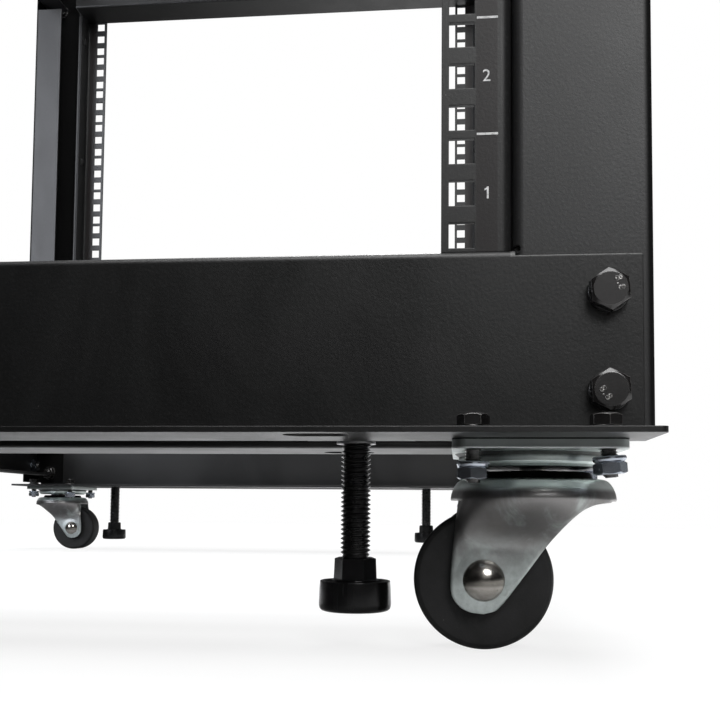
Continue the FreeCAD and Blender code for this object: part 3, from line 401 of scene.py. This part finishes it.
class Build:
    """Collects closed shells, in millimetres, and makes one piece of them."""

    def __init__(self, *mats):
        self.mats = mats
        self.verts, self.faces, self.slots = [], [], []

    def add(self, verts, faces, mx, mat=0):
        base = len(self.verts)
        self.verts += [mx @ Vector(p) for p in verts]
        for f in faces:
            self.faces.append([base + i for i in f])
            self.slots.append(mat)

    def turned(self, prof, mx, mat=0, seg=48, loop=False, radius=None):
        """Turns a profile of (radius, height) about Z; radius(angle, r) may shape it, as for a hexagon."""
        verts, faces, rings = [], [], []
        for r, z in prof:
            if r < 1e-9:
                rings.append([len(verts)])
                verts.append((0, 0, z))
            else:
                ring = []
                for k in range(seg):
                    a = 2 * math.pi * k / seg
                    rr, zz = (r, z) if radius is None else radius(a, r, z)
                    ring.append(len(verts))
                    verts.append((rr * math.cos(a), rr * math.sin(a), zz))
                rings.append(ring)
        pairs = list(zip(rings, rings[1:]))
        if loop:
            pairs.append((rings[-1], rings[0]))
        for a, b in pairs:
            if len(a) == 1 and len(b) == 1:
                continue
            for k in range(seg):
                j = (k + 1) % seg
                if len(a) == 1:
                    faces.append((a[0], b[k], b[j]))
                elif len(b) == 1:
                    faces.append((a[k], a[j], b[0]))
                else:
                    faces.append((a[k], a[j], b[j], b[k]))
        self.add(verts, faces, mx, mat)

    def hexagon(self, mx, flats, low, high, mat=0, top=True, bottom=False, seg=60, bore=0.0, flat=0.47, slope=0.577):
        """A hexagonal head or nut with the chamfers of its ends, which meet the flats in arcs."""
        rc = flats * flat

        def shaped(a, r, z):
            if r > rc * 1.001:
                off = (a + math.pi / 6) % (math.pi / 3) - math.pi / 6
                big = flats / 2 / math.cos(off)
                if z > (low + high) / 2:
                    return big, high - ((big - rc) * slope if top else 0.0)
                return big, low + ((big - rc) * slope if bottom else 0.0)
            return r, z
        out = flats * 0.6
        prof = [(0, low), (rc, low), (out, low), (out, high), (rc, high)]
        if bore:
            prof += [(bore * 1.12, high), (bore * 0.98, high - bore * 0.16), (0, high - bore * 0.16)]
        else:
            prof += [(0, high)]
        self.turned(prof, mx, mat, seg, radius=shaped)

    def washer(self, mx, outer, inner, low, high, mat=0, seg=48):
        c = min(0.25, (high - low) * 0.2)
        self.turned([(inner, low), (outer - c, low), (outer, low + c), (outer, high - c), (outer - c, high), (inner, high)],
                    mx, mat, seg, loop=True)

    def spring(self, mx, outer, inner, low, high, mat=0, seg=40):
        """A spring washer: one turn of square wire, cut, its ends a little apart."""
        verts, faces = [], []
        lift = 0.35
        for k in range(seg + 1):
            t = k / seg
            a = 0.10 + t * (2 * math.pi - 0.20)
            z = (t - 0.5) * lift
            for r, h in ((inner, low), (outer, low), (outer, high), (inner, high)):
                verts.append((r * math.cos(a), r * math.sin(a), h + z * 0.5))
        for k in range(seg):
            for j in range(4):
                a, b = k * 4 + j, k * 4 + (j + 1) % 4
                faces.append((a, b, b + 4, a + 4))
        faces.append((0, 1, 2, 3))
        faces.append(tuple(seg * 4 + j for j in range(4)))
        self.add(verts, faces, mx, mat)

    def thread(self, mx, rad, pitch, low, high, mat=0, seg=24, depth=None, tip=1.0, fade=0.6):
        """A helical thread on its core. The thread runs out into the core at both ends."""
        depth = depth or pitch * 0.54
        root = rad - depth
        self.turned([(0, low), (root, low), (root, high - tip), (root - 0.1, high - tip), (root - tip * 0.55, high), (0, high)],
                    mx, mat, seg)
        turns = (high - low - tip * 0.6) / pitch - 1.0
        count = int(turns * seg)
        verts, faces = [], []
        for k in range(count + seg + 1):
            a = 2 * math.pi * k / seg
            z = low + pitch * k / seg
            ramp = max(0.0, min(1.0, k / (seg * fade), (count + seg - k) / (seg * fade)))
            crest = root - 0.08 + (depth + 0.08) * ramp
            for r, dz in ((crest, -0.07), (crest, 0.07), (root - 0.02, 0.40), (root - 0.02, 0.60)):
                verts.append((r * math.cos(a), r * math.sin(a), z + dz * pitch))
        n = count + seg
        for k in range(n):
            for j in range(3):
                a = k * 4 + j
                faces.append((a, a + 1, a + 5, a + 4))
            if k + seg < n:
                a, b = k * 4 + 3, (k + seg) * 4
                faces.append((a, b, b + 4, a + 4))
        self.add(verts, faces, mx, mat)

    def box(self, mx, lo, hi, mat=0):
        x0, y0, z0 = lo
        x1, y1, z1 = hi
        verts = [(x0, y0, z0), (x1, y0, z0), (x1, y1, z0), (x0, y1, z0), (x0, y0, z1), (x1, y0, z1), (x1, y1, z1), (x0, y1, z1)]
        faces = [(0, 3, 2, 1), (4, 5, 6, 7), (0, 1, 5, 4), (1, 2, 6, 5), (2, 3, 7, 6), (3, 0, 4, 7)]
        self.add(verts, faces, mx, mat)

    def done(self, name, body, angle=32.0):
        me = bpy.data.meshes.new(name)
        me.from_pydata([tuple(v * MM) for v in self.verts], [], self.faces)
        for m in self.mats:
            me.materials.append(m)
        for poly, s in zip(me.polygons, self.slots):
            poly.material_index = s
        bm = bmesh.new()
        bm.from_mesh(me)
        bmesh.ops.recalc_face_normals(bm, faces=bm.faces)
        bm.to_mesh(me)
        bm.free()
        me.shade_smooth()
        me.set_sharp_from_angle(angle=math.radians(angle))
        me.update()
        obj = bpy.data.objects.new(name, me)
        bpy.context.scene.collection.objects.link(obj)
        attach(obj, body)
        return obj


def facing(place, toward, spin=0.0):
    """The matrix that stands a piece made along +Z at a place, pointing along one axis."""
    z = Vector(toward).normalized()
    x = Vector((0, 0, 1)).cross(z) if abs(z.z) < 0.9 else Vector((1, 0, 0))
    x.normalize()
    y = z.cross(x)
    m = Matrix((x, y, z)).transposed().to_4x4()
    m = m @ Matrix.Rotation(spin, 4, "Z")
    m.translation = Vector(place)
    return m


glyphs = {}


def glyph(text):
    """Flat letters 1 high, centred, as (verts, faces)."""
    if text not in glyphs:
        curve = bpy.data.curves.new("letters", "FONT")
        curve.body = text
        curve.size = 1.0
        curve.extrude = 0.02
        curve.resolution_u = 5
        holder = bpy.data.objects.new("letters", curve)
        bpy.context.scene.collection.objects.link(holder)
        bpy.context.view_layer.update()
        me = bpy.data.meshes.new_from_object(holder.evaluated_get(bpy.context.evaluated_depsgraph_get()))
        verts = [v.co.copy() for v in me.vertices]
        faces = [tuple(p.vertices) for p in me.polygons]
        lo = [min(v[k] for v in verts) for k in range(2)]
        hi = [max(v[k] for v in verts) for k in range(2)]
        high = hi[1] - lo[1]
        verts = [((v.x - (lo[0] + hi[0]) / 2) / high, (v.y - (lo[1] + hi[1]) / 2) / high, v.z / 0.04) for v in verts]
        glyphs[text] = (verts, faces)
        bpy.data.objects.remove(holder)
        bpy.data.curves.remove(curve)
        bpy.data.meshes.remove(me)
    return glyphs[text]


def flat_one():
    """A one with its flag, as a flat shape 1 high."""
    line = [(0.02, -0.5), (0.17, -0.5), (0.17, 0.5), (0.04, 0.5), (-0.02, 0.40), (-0.17, 0.31), (-0.17, 0.18), (0.02, 0.27)]
    n = len(line)
    verts = [(x, y, 0.0) for x, y in line] + [(x, y, 1.0) for x, y in line]
    faces = [tuple(range(n, 2 * n)), tuple(reversed(range(n)))]
    faces += [(i, (i + 1) % n, n + (i + 1) % n, n + i) for i in range(n)]
    return verts, faces


def letters(build, text, mx, high, thick, mat=0, step=0.62):
    """A line of digits, each set on its own so that the ones have their flags."""
    widths = [0.42 if c == "1" else (0.3 if c == "." else step) for c in text]
    at = -sum(widths) / 2
    for c, w in zip(text, widths):
        verts, faces = flat_one() if c == "1" else glyph(c)
        if c == ".":
            verts = [(x * 0.16, y * 0.16 - 0.42, z) for x, y, z in verts]
        build.add([((x + at + w / 2) * high, y * high, z * thick) for x, y, z in verts], faces, mx, mat)
        at += w


# ---------------------------------------------------------------- bolts of the bars

def bar_bolt(build, place, out, spin, mark):
    """M8: head and washer outside, washer and nut inside the post."""
    m = facing(place, out, spin)
    build.washer(m, 7.3, 4.2, 0.0, 1.6, 1)
    build.hexagon(m, 13.4, 1.6, 6.9, flat=0.446, slope=0.64)
    a, off = mark
    letters(build, "8.8", m @ Matrix.Translation((off[0], off[1], 6.9)) @ Matrix.Rotation(a, 4, "Z"), 2.4, 0.3, 2, step=1.15)
    inside = m @ Matrix.Translation((0, 0, -4.0)) @ Matrix.Rotation(math.pi, 4, "X")
    build.washer(inside, 8.0, 4.2, 0.0, 1.4)
    build.hexagon(inside @ Matrix.Rotation(0.4, 4, "Z"), 13.0, 1.4, 7.4, bottom=True, bore=4.0)
    build.thread(inside, 4.0, 1.25, 0.2, 10.2, seg=24)
    build.turned([(0, -6), (3.9, -6), (3.9, 0.4), (0, 0.4)], inside, seg=24)


for end, sy in (("front", -1), ("rear", 1)):
    for level, zz in LEVELS:
        b = Build(MAT["oxide"], MAT["thread"], MAT["mark"])
        for sx in (1, -1):
            for z in (94.1, 129.9):
                shown = end == "front" and level == "base" and sx == 1
                spin = math.radians(4.5 if z > 100 else 3.5) if shown else math.radians(chance.uniform(0, 60))
                if shown and z > 100:
                    mark = (math.radians(-72) - spin, (3.2, 1.9))
                elif shown:
                    mark = (math.radians(-55) - spin, (-2.1, -1.4))
                else:
                    mark = (chance.uniform(0, 6.28), (chance.uniform(-1.4, 1.4), chance.uniform(-1.4, 1.4)))
                if shown:
                    # the offset is given as seen from the front
                    c, s = math.cos(-spin), math.sin(-spin)
                    x, y = mark[1]
                    mark = (mark[0], (x * c - y * s, x * s + y * c))
                bar_bolt(b, (285.0 * sx, (FACE + 2.0) * sy, zz(z)), (0, sy, 0), spin, mark)
        b.done("%s_%s_bar_bolts" % (end, level), "frame", 26)


# ---------------------------------------------------------------- bolts of the casters

NUT_TOPS = {  # height of each nut's upper face, for the bolts at (inner, outer) of the (outer lip, inner lip)
    "front_right": (68.3, 70.2, 70.4, 69.7),
    "front_left": (69.4, 70.3, 69.9, 70.1),
    "rear_right": (70.2, 69.2, 70.4, 69.8),
    "rear_left": (69.7, 70.3, 69.3, 70.4),
}
for corner, sx, sy in CORNERS:
    b = Build(MAT["oxide"], MAT["nut_zinc"])
    k = 0
    for dy in (31.5, -31.5):
        for dx in (-22.8, 22.8):
            x, y = (CASTER_X + dx) * sx, (MID + dy) * sy
            spin = math.radians((27, 6, 14, 48)[k]) if corner == "front_right" else chance.uniform(0, 1.04)
            up = facing((x, y, LIP_TOP), (0, 0, 1), spin)
            b.washer(up, 6.3, 3.3, 0.0, 1.2, seg=36)
            b.spring(up, 5.1, 3.2, 1.35, 2.6)
            b.hexagon(up, 10.0, 2.75, 6.9, flat=0.455, slope=0.6)
            top = NUT_TOPS[corner][k]
            down = facing((x, y, top), (0, 0, -1), -math.radians((51, 26, 40, 12)[k]) if corner == "front_right" else -spin + 0.3 * k)
            shank = facing((x, y, LIP_TOP + 0.3), (0, 0, -1))
            if corner == "front_right" and k == 1:
                # this one hangs a little crooked in its hole
                lean = Matrix.Translation((x + 0.6, y, 75.0)) @ Matrix.Rotation(math.radians(-4.5), 4, "Y") @ Matrix.Translation((-x, -y, -75.0))
                down, shank = lean @ down, lean @ shank
            b.turned([(0, 0.0), (5.4, 0.0), (5.75, 0.35), (5.8, 1.0), (5.5, 1.7), (4.9, 2.1), (0, 2.1)], down, 1, 48)
            b.hexagon(down, 10.1, 2.0, 6.3, mat=1, bottom=True, bore=3.0, flat=0.47)
            b.thread(shank, 3.0, 1.0, 0.0, LIP_TOP + 0.3 - top + 7.4, seg=20)
            k += 1
    b.done(corner + "_caster_bolts", "frame", 26)


# ---------------------------------------------------------------- bolts of the side rails

def low_head(build, m, rad, high, mat=0):
    """A low round head with its hexagon socket."""
    prof = [(0, 0), (rad - 0.3, 0), (rad, 0.35)]
    for i in range(1, 6):
        a = math.radians(i * 13.0)
        prof.append((rad * math.cos(a * 1.02), 0.35 + (high - 0.35) * math.sin(a) / math.sin(math.radians(65))))
    build.turned(prof + [(rad * 0.37, high)], m, mat, 40)
    socket = [(rad * 0.37, high), (rad * 0.34, high - 0.15)]

    def shaped(a, r, z):
        if z < high - 0.1:
            off = (a + math.pi / 6) % (math.pi / 3) - math.pi / 6
            return r / math.cos(off) * 0.93, z
        return r, z
    build.turned(socket + [(rad * 0.34, high - 1.6), (0, high - 1.9)], m, mat, 40, radius=shaped)


for side, sx in (("right", 1), ("left", -1)):
    for level, zz in LEVELS:
        b = Build(MAT["oxide"], MAT["nut_zinc"])
        for end, sy in (("front", -1), ("rear", 1)):
            inner = HALF - 4.0 if end == "front" else HALF - 6.0
            for z in (102.5, 124.5):
                m = facing((HALF * sx, (FACE - 27.0) * sy, zz(z)), (sx, 0, 0), chance.uniform(0, 1))
                low_head(b, m, 7.0, 3.0)
                inside = facing((inner * sx, (FACE - 27.0) * sy, zz(z)), (-sx, 0, 0), chance.uniform(0, 1))
                b.washer(inside, 7.6, 4.2, 0.0, 1.2, 1)
                b.hexagon(inside, 13.0, 1.2, 6.6, mat=1, bottom=True, bore=4.0)
                b.thread(inside, 4.0, 1.25, -1.0, 8.4, seg=22)
                if end == "rear":
                    b.washer(inside @ Matrix.Translation((0, 0, -4.0)), 7.6, 4.2, 0.05, 1.95, 1)
                b.turned([(0, -7), (3.9, -7), (3.9, 0.4), (0, 0.4)], inside, seg=22)
        for y in (-50.0, 50.0):
            m = facing(((HALF - 2.0) * sx, y, zz(113.5)), (sx, 0, 0), chance.uniform(0, 1))
            b.washer(m, 8.2, 4.2, 0.0, 1.4)
            low_head(b, m @ Matrix.Translation((0, 0, 1.4)), 7.0, 3.0)
            inside = facing(((HALF - 6.0) * sx, y, zz(113.5)), (-sx, 0, 0), chance.uniform(0, 1))
            b.washer(inside, 8.2, 4.2, 0.0, 1.4, 1)
            b.hexagon(inside, 13.0, 1.4, 7.2, mat=1, bottom=True, bore=4.0)
            b.thread(inside, 4.0, 1.25, -1.0, 9.2, seg=22)
            b.turned([(0, -5), (3.9, -5), (3.9, 0.4), (0, 0.4)], inside, seg=22)
        b.done("%s_%s_side_rail_bolts" % (side, level), "frame", 30)


# ---------------------------------------------------------------- rivets of the rails, U numbers

for corner, sx, sy in CORNERS:
    b = Build(MAT["rail"])
    for z in (177.5, 334.5, 490.9, 647.9):
        for y in (FACE - 14.0,):
            head = facing((249.0 * sx, y * sy, z), (-sx, 0, 0))
            b.turned([(0, 0), (4.6, 0), (4.7, 0.3), (4.2, 1.0), (3.1, 1.6), (1.6, 1.95), (0, 2.05)], head, 0, 36)
            back = facing((253.1 * sx, y * sy, z), (sx, 0, 0))
            b.turned([(0, 0), (3.4, 0), (3.5, 0.4), (3.2, 1.5), (2.6, 2.1), (1.4, 2.2), (1.2, 1.5), (0, 1.4)], back, 0, 32)
    for z in (UNIT_0 + 1.1, 825.4 - UNIT_0 - 1.1):
        # the weld that closes the relief hole from inside the post
        bead = facing((253.4 * sx, (FACE - 4.6) * sy, z), (0, sy, 0))
        b.turned([(0, -1.6), (1.5, -1.3), (2.5, 0.1), (2.5, 0.9), (1.4, 2.1), (0, 2.3)], bead, 0, 24)
    b.done(corner + "_rail_rivets", "frame", 30)

    b = Build(MAT["ink"])
    for unit in range(12):
        z = UNIT_0 + UNIT * (unit + 0.5)
        m = facing((241.7 * sx, FACE * sy, z), (0, sy, 0))
        letters(b, str(unit + 1), m @ Matrix.Translation((0, 0, 0.03)), 4.5, 0.08)
        if unit:
            line = facing((242.0 * sx, FACE * sy, UNIT_0 + UNIT * unit), (0, sy, 0))
            b.box(line, (-3.9, -0.42, -0.02), (3.9, 0.42, 0.07))
    b.done(corner + "_unit_numbers", "frame", 30)


# ---------------------------------------------------------------- levelling feet

for corner, sx, sy in CORNERS:
    b = Build(MAT["foot"], MAT["thread"])
    m = facing((FOOT_X * sx, MID * sy, 0.0), (0, 0, 1), 0.0)
    low, top, wide = 12.5, 24.1, 13.9
    b.turned([(0, low + 0.5), (7.8, low + 0.5), (8.3, low), (wide - 2.1, low), (wide - 1.0, low + 0.35),
              (wide - 0.35, low + 1.0), (wide - 0.05, low + 2.1), (wide, low + 3.2), (wide - 0.2, top - 3.0),
              (wide - 0.42, top - 0.35), (wide - 0.6, top - 0.1), (wide - 0.9, top), (wide - 1.4, top - 0.1),
              (wide - 1.75, top - 0.5), (wide - 2.1, top - 1.2), (wide - 2.6, top - 1.4), (9.4, top - 1.4),
              (9.15, top - 1.2), (9.1, top + 0.1), (8.85, top + 0.4), (0, top + 0.4)], m, 0, 96)
    spin = m @ Matrix.Rotation(math.radians(30), 4, "Z")

    def collar(a, r, z):
        off = (a + math.pi / 6) % (math.pi / 3) - math.pi / 6
        flats = 6.92 + (32.9 - z) * 0.035
        return (flats / math.cos(off) if r > 6.6 else r), z
    b.turned([(0, top), (7.5, top), (7.3, 32.4), (6.55, 32.9), (0, 32.9)], spin, 0, 96, radius=collar)
    b.thread(m, 5.75, 1.75, 32.1, 98.5, mat=1, seg=40, depth=0.95, tip=1.6, fade=1.6)
    foot = b.done(corner + "_threaded_foot", corner + "_foot", 28)
    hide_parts(corner + "_levelling_foot")


# ---------------------------------------------------------------- caster forks

def between(table, t):
    """Smooth value of a table of (t, value) rows, in rising t."""
    if t <= table[0][0]:
        return table[0][1]
    for i in range(len(table) - 1):
        if t <= table[i + 1][0]:
            (t0, v0), (t1, v1) = table[i], table[i + 1]
            tp, vp = table[max(i - 1, 0)]
            tn, vn = table[min(i + 2, len(table) - 1)]
            h = t1 - t0
            m0 = (v1 - vp) / max(t1 - tp, 1e-6) * h
            m1 = (vn - v0) / max(tn - t0, 1e-6) * h
            k = (t - t0) / h
            return ((2 * k ** 3 - 3 * k * k + 1) * v0 + (k ** 3 - 2 * k * k + k) * m0 + (3 * k * k - 2 * k ** 3) * v1
                    + (k ** 3 - k * k) * m1)
    return table[-1][1]


# the outline of a leg, from its lowest point up its two edges: height, then distance from the swivel
LEG_BACK = [(13.7, -18.8), (14.2, -23.4), (16.4, -27.8), (20.9, -30.4), (27.0, -30.7), (34.5, -30.2), (47.3, -28.9), (57.0, -27.6),
            (60.0, -26.6)]
LEG_FRONT = [(13.7, -18.8), (14.8, -14.6), (18.4, -11.0), (25.3, -5.8), (31.7, -1.0), (38.0, 3.6), (45.9, 10.0), (49.3, 13.2),
             (51.9, 16.6), (53.7, 21.4), (54.4, 27.0), (57.0, 27.4), (60.0, 26.4)]
CAP_R, CAP_TOP, RIM = 30.9, 63.0, 54.9
LEG_SWEEP = [(35.0, 0.0), (38.0, 0.012), (41.0, 0.085), (44.0, 0.25), (47.0, 0.48), (50.0, 0.715), (52.0, 0.85), (54.0, 0.945),
             (56.0, 0.992), (57.5, 1.0), (70.0, 1.0)]
CAP_WALL = [(54.9, 30.65), (55.25, 30.9), (56.0, 30.85), (57.3, 30.65), (58.7, 30.2), (60.0, 29.6), (61.1, 28.9)]


def leg_y(x, z):
    """How far out the leg's outer face stands: round under the cap, and flat lower down."""
    wall = CAP_R if z < 55.25 else between(CAP_WALL, z)
    wall += 0.05 - 0.2 * max(0.0, min(1.0, (z - 56.0) / 3.0))      # it sinks into the cap without a step
    ring = math.sqrt(max(wall ** 2 - x * x, 12.5 ** 2))
    y = 15.5 + (ring - 15.5) * between(LEG_SWEEP, z)
    # a shallow hollow down the middle of the leg, and the boss round the axle
    y -= 0.5 * math.exp(-((x + 12) / 9.0) ** 2 - ((z - 42.5) / 7.0) ** 2)
    return y + 0.35 * max(0.0, 1 - (((x + TRAIL) ** 2 + (z - 25.8) ** 2) ** 0.5 / 10.5) ** 6)


def leg_sheet(build, mx, side):
    rows = [13.7 + 0.9 * (i / 10.0) ** 2 * 2.4 for i in range(1, 11)]
    rows = [13.7] + rows + [rows[-1] + (50.0 - rows[-1]) * i / 22.0 for i in range(1, 23)]
    rows += [50.0 + 9.4 * i / 24.0 for i in range(1, 25)]
    cols = 40
    verts, n = [], len(rows)
    for skin in (0, 1):
        for z in rows:
            a, b = between(LEG_BACK, z), between(LEG_FRONT, z)
            if b - a < 0.2:
                a, b = -18.9, -18.7
            for j in range(cols + 1):
                t = j / cols
                x = a + (b - a) * (t if skin == 0 else t)
                y = leg_y(x, z) - (2.0 if skin else 0.0)
                if j in (0, cols):
                    y += 0.35 if skin else -0.35        # the cut edges are a little rounded
                verts.append((x, side * y, z))
    faces = []
    w = cols + 1
    for skin in (0, 1):
        o = skin * n * w
        for i in range(n - 1):
            for j in range(cols):
                faces.append((o + i * w + j, o + i * w + j + 1, o + (i + 1) * w + j + 1, o + (i + 1) * w + j))
    far = n * w
    ring = [i * w for i in range(n - 1, 0, -1)] + list(range(0, w)) + [i * w + cols for i in range(1, n)]
    ring += [(n - 1) * w + j for j in range(cols - 1, 0, -1)]
    for i in range(len(ring)):
        p, q = ring[i], ring[(i + 1) % len(ring)]
        faces.append((p, q, far + q, far + p))
    build.add(verts, faces, mx)


for corner, sx, sy in CORNERS:
    b = Build(MAT["fork"], MAT["race"])
    m = Matrix.Translation((CASTER_X * sx, MID * sy, 0.0)) @ Matrix.Diagonal((sx, 1.0, 1.0, 1.0))

    def pressed(a, r, z):
        # two small dents of the press on the side that the nuts face, and a slightly uneven rim
        for dent in (-2.02, -1.12, 1.12, 2.02):
            off = (a - dent + math.pi) % (2 * math.pi) - math.pi
            r -= 0.75 * math.exp(-(off * 26.0 / 3.1) ** 2 - ((z - 60.9) / 1.5) ** 2) if z > 55 and r > 20 else 0.0
        if r > 20 and z < 59.0:
            # behind a leg the rim runs on into the leg
            side = max(0.0, min(1.0, (57.0 - math.degrees(math.acos(min(1.0, abs(math.sin(a)))))) / 7.0))
            r -= side * 3.4 * min(1.0, (59.0 - z) / 4.1) ** 2
        return r, z + (0.12 * math.sin(3 * a + 0.6) if z < RIM + 0.5 else 0.0)
    b.turned([(5.1, CAP_TOP), (24.6, CAP_TOP), (26.2, CAP_TOP - 0.12), (27.3, CAP_TOP - 0.5), (28.2, CAP_TOP - 1.1),
              (28.9, CAP_TOP - 1.9), (29.6, CAP_TOP - 3.0), (30.2, CAP_TOP - 4.3), (30.65, CAP_TOP - 5.7), (30.85, CAP_TOP - 7.0),
              (CAP_R, RIM + 0.35), (30.65, RIM), (29.2, RIM), (28.95, RIM + 0.3), (28.9, CAP_TOP - 7.0), (28.6, CAP_TOP - 5.8),
              (27.9, CAP_TOP - 4.5), (27.0, CAP_TOP - 3.3), (25.9, CAP_TOP - 2.5), (24.6, CAP_TOP - 2.05), (5.1, CAP_TOP - 2.0)],
             m, 0, 144, loop=True, radius=pressed)
    for side in (1, -1):
        leg_sheet(b, m, side)
    # the lower cup of the race, greased; its near black finish with almost no reflection is partly painted shade
    b.turned([(5.1, CAP_TOP - 0.1), (22.4, CAP_TOP - 0.1), (22.0, CAP_TOP + 1.2), (21.2, CAP_TOP + 2.6), (5.1, CAP_TOP + 2.7)],
             m, 1, 72, loop=True)
    piece = b.done(corner + "_pressed_fork", corner + "_fork", 40)
    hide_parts(corner + "_caster_fork")


# ---------------------------------------------------------------- floor, light

def stage_floor():
    """A pale studio floor: near white to the camera. For light bouncing off it, it is painted dark in front of and
    left of the rack, with one grey patch ahead on the right, and pale about and behind it; the dark is painted shade.
    """
    n = Net("studio_floor")
    n.tree.nodes.clear()
    out = n.tree.nodes.new("ShaderNodeOutputMaterial")
    painted_bounce = n.tree.nodes.new("ShaderNodeBsdfDiffuse")
    place = n.tree.nodes.new("ShaderNodeTexCoord").outputs["Object"]
    n.place = place
    back = n.calc("MULTIPLY", n.span(n.axis("Y"), FLOOR_FRONT[0], FLOOR_FRONT[1]),
                  n.span(n.axis("X"), FLOOR_LEFT[0], FLOOR_LEFT[1]))
    near = n.calc("MULTIPLY", n.span(n.axis("Y"), FLOOR_NEAR[0], FLOOR_NEAR[1]),
                  n.span(n.axis("X"), 0.08, 0.26))
    front = n.mix(near, rgb(0.03, 0.03, 0.03), rgb(0.60, 0.60, 0.60))
    n.put(painted_bounce, "Color", n.mix(back, front, rgb(0.86, 0.86, 0.86)))
    paper = n.tree.nodes.new("ShaderNodeBsdfDiffuse")
    paper.inputs["Color"].default_value = rgb(0.86, 0.86, 0.86)
    white = n.add("ShaderNodeEmission", {"Color": rgb(1, 1, 1), "Strength": 1.0})
    far = n.span(n.add("ShaderNodeVectorMath", {0: place}, operation="LENGTH").outputs["Value"], 0.9, 2.6, 0.80, 1.0)
    seen = n.add("ShaderNodeMixShader", {0: far, 1: paper.outputs["BSDF"], 2: white.outputs["Emission"]})
    path = n.tree.nodes.new("ShaderNodeLightPath")
    both = n.add("ShaderNodeMixShader", {0: path.outputs["Is Camera Ray"], 1: painted_bounce.outputs["BSDF"], 2: seen.outputs[0]})
    n.tree.links.new(both.outputs[0], out.inputs["Surface"])
    me = bpy.data.meshes.new("floor")
    bm = bmesh.new()
    bmesh.ops.create_circle(bm, cap_ends=True, radius=18.0, segments=96)
    bm.to_mesh(me)
    bm.free()
    me.materials.append(n.mat)
    obj = bpy.data.objects.new("floor", me)
    bpy.context.scene.collection.objects.link(obj)


FLOOR_FRONT, FLOOR_LEFT, FLOOR_NEAR = (-0.44, -0.26), (-0.60, 0.25), (-0.86, -0.60)
stage_floor()

world = bpy.data.worlds.new("studio")
bpy.context.scene.world = world
world.use_nodes = True
wt = world.node_tree
wt.nodes.clear()
w_out = wt.nodes.new("ShaderNodeOutputWorld")
w_see = wt.nodes.new("ShaderNodeBackground")
w_see.inputs[0].default_value = rgb(1, 1, 1)
w_see.inputs[1].default_value = 1.0
w_lit = wt.nodes.new("ShaderNodeBackground")
w_path = wt.nodes.new("ShaderNodeLightPath")
w_mix = wt.nodes.new("ShaderNodeMixShader")
w_dir = wt.nodes.new("ShaderNodeTexCoord")
w_xyz = wt.nodes.new("ShaderNodeSeparateXYZ")
w_map = wt.nodes.new("ShaderNodeMapRange")
w_map.interpolation_type = "SMOOTHSTEP"
for key, value in (("From Min", -0.25), ("From Max", 0.6), ("To Min", 0.02), ("To Max", 0.22)):
    w_map.inputs[key].default_value = value
wt.links.new(w_dir.outputs["Generated"], w_xyz.inputs[0])
wt.links.new(w_xyz.outputs["Y"], w_map.inputs["Value"])
wt.links.new(w_map.outputs["Result"], w_lit.inputs[1])
w_lit.inputs[0].default_value = rgb(1, 1, 1)
wt.links.new(w_path.outputs["Is Camera Ray"], w_mix.inputs[0])
wt.links.new(w_lit.outputs[0], w_mix.inputs[1])
wt.links.new(w_see.outputs[0], w_mix.inputs[2])
wt.links.new(w_mix.outputs[0], w_out.inputs["Surface"])


def softbox(name, place, target, size, power, colour=(1, 1, 1)):
    data = bpy.data.lights.new(name, "AREA")
    data.shape = "RECTANGLE"
    data.size, data.size_y = size
    data.energy = power
    data.color = colour
    obj = bpy.data.objects.new(name, data)
    bpy.context.scene.collection.objects.link(obj)
    obj.location = Vector(place)
    obj.visible_camera = False
    obj.rotation_euler = (Vector(target) - Vector(place)).to_track_quat("-Z", "Y").to_euler()
    return obj


softbox("key_softbox", (0.86, -2.05, 1.45), (0.27, -0.42, 0.18), (0.9, 0.9), 24)
softbox("top_softbox", (0.2, -0.55, 2.5), (0.2, -0.15, 0.3), (2.0, 1.8), 52)
softbox("front_fill", (0.72, -2.3, 0.62), (0.3, -0.4, 0.1), (1.2, 0.6), 1.2)
softbox("left_softbox", (-0.72, -0.30, 0.62), (-0.25, 0.42, 0.44), (0.5, 0.9), 9.5, (0.90, 0.93, 1.0))
softbox("front_top", (0.35, -1.55, 2.30), (0.27, -0.42, 0.12), (1.3, 0.6), 18)
softbox("back_softbox", (0.3, 2.1, 2.9), (0.2, 0.5, 0.0), (1.8, 1.2), 110)

bpy.context.scene.view_settings.view_transform = "Standard"
bpy.context.scene.view_settings.look = "None"
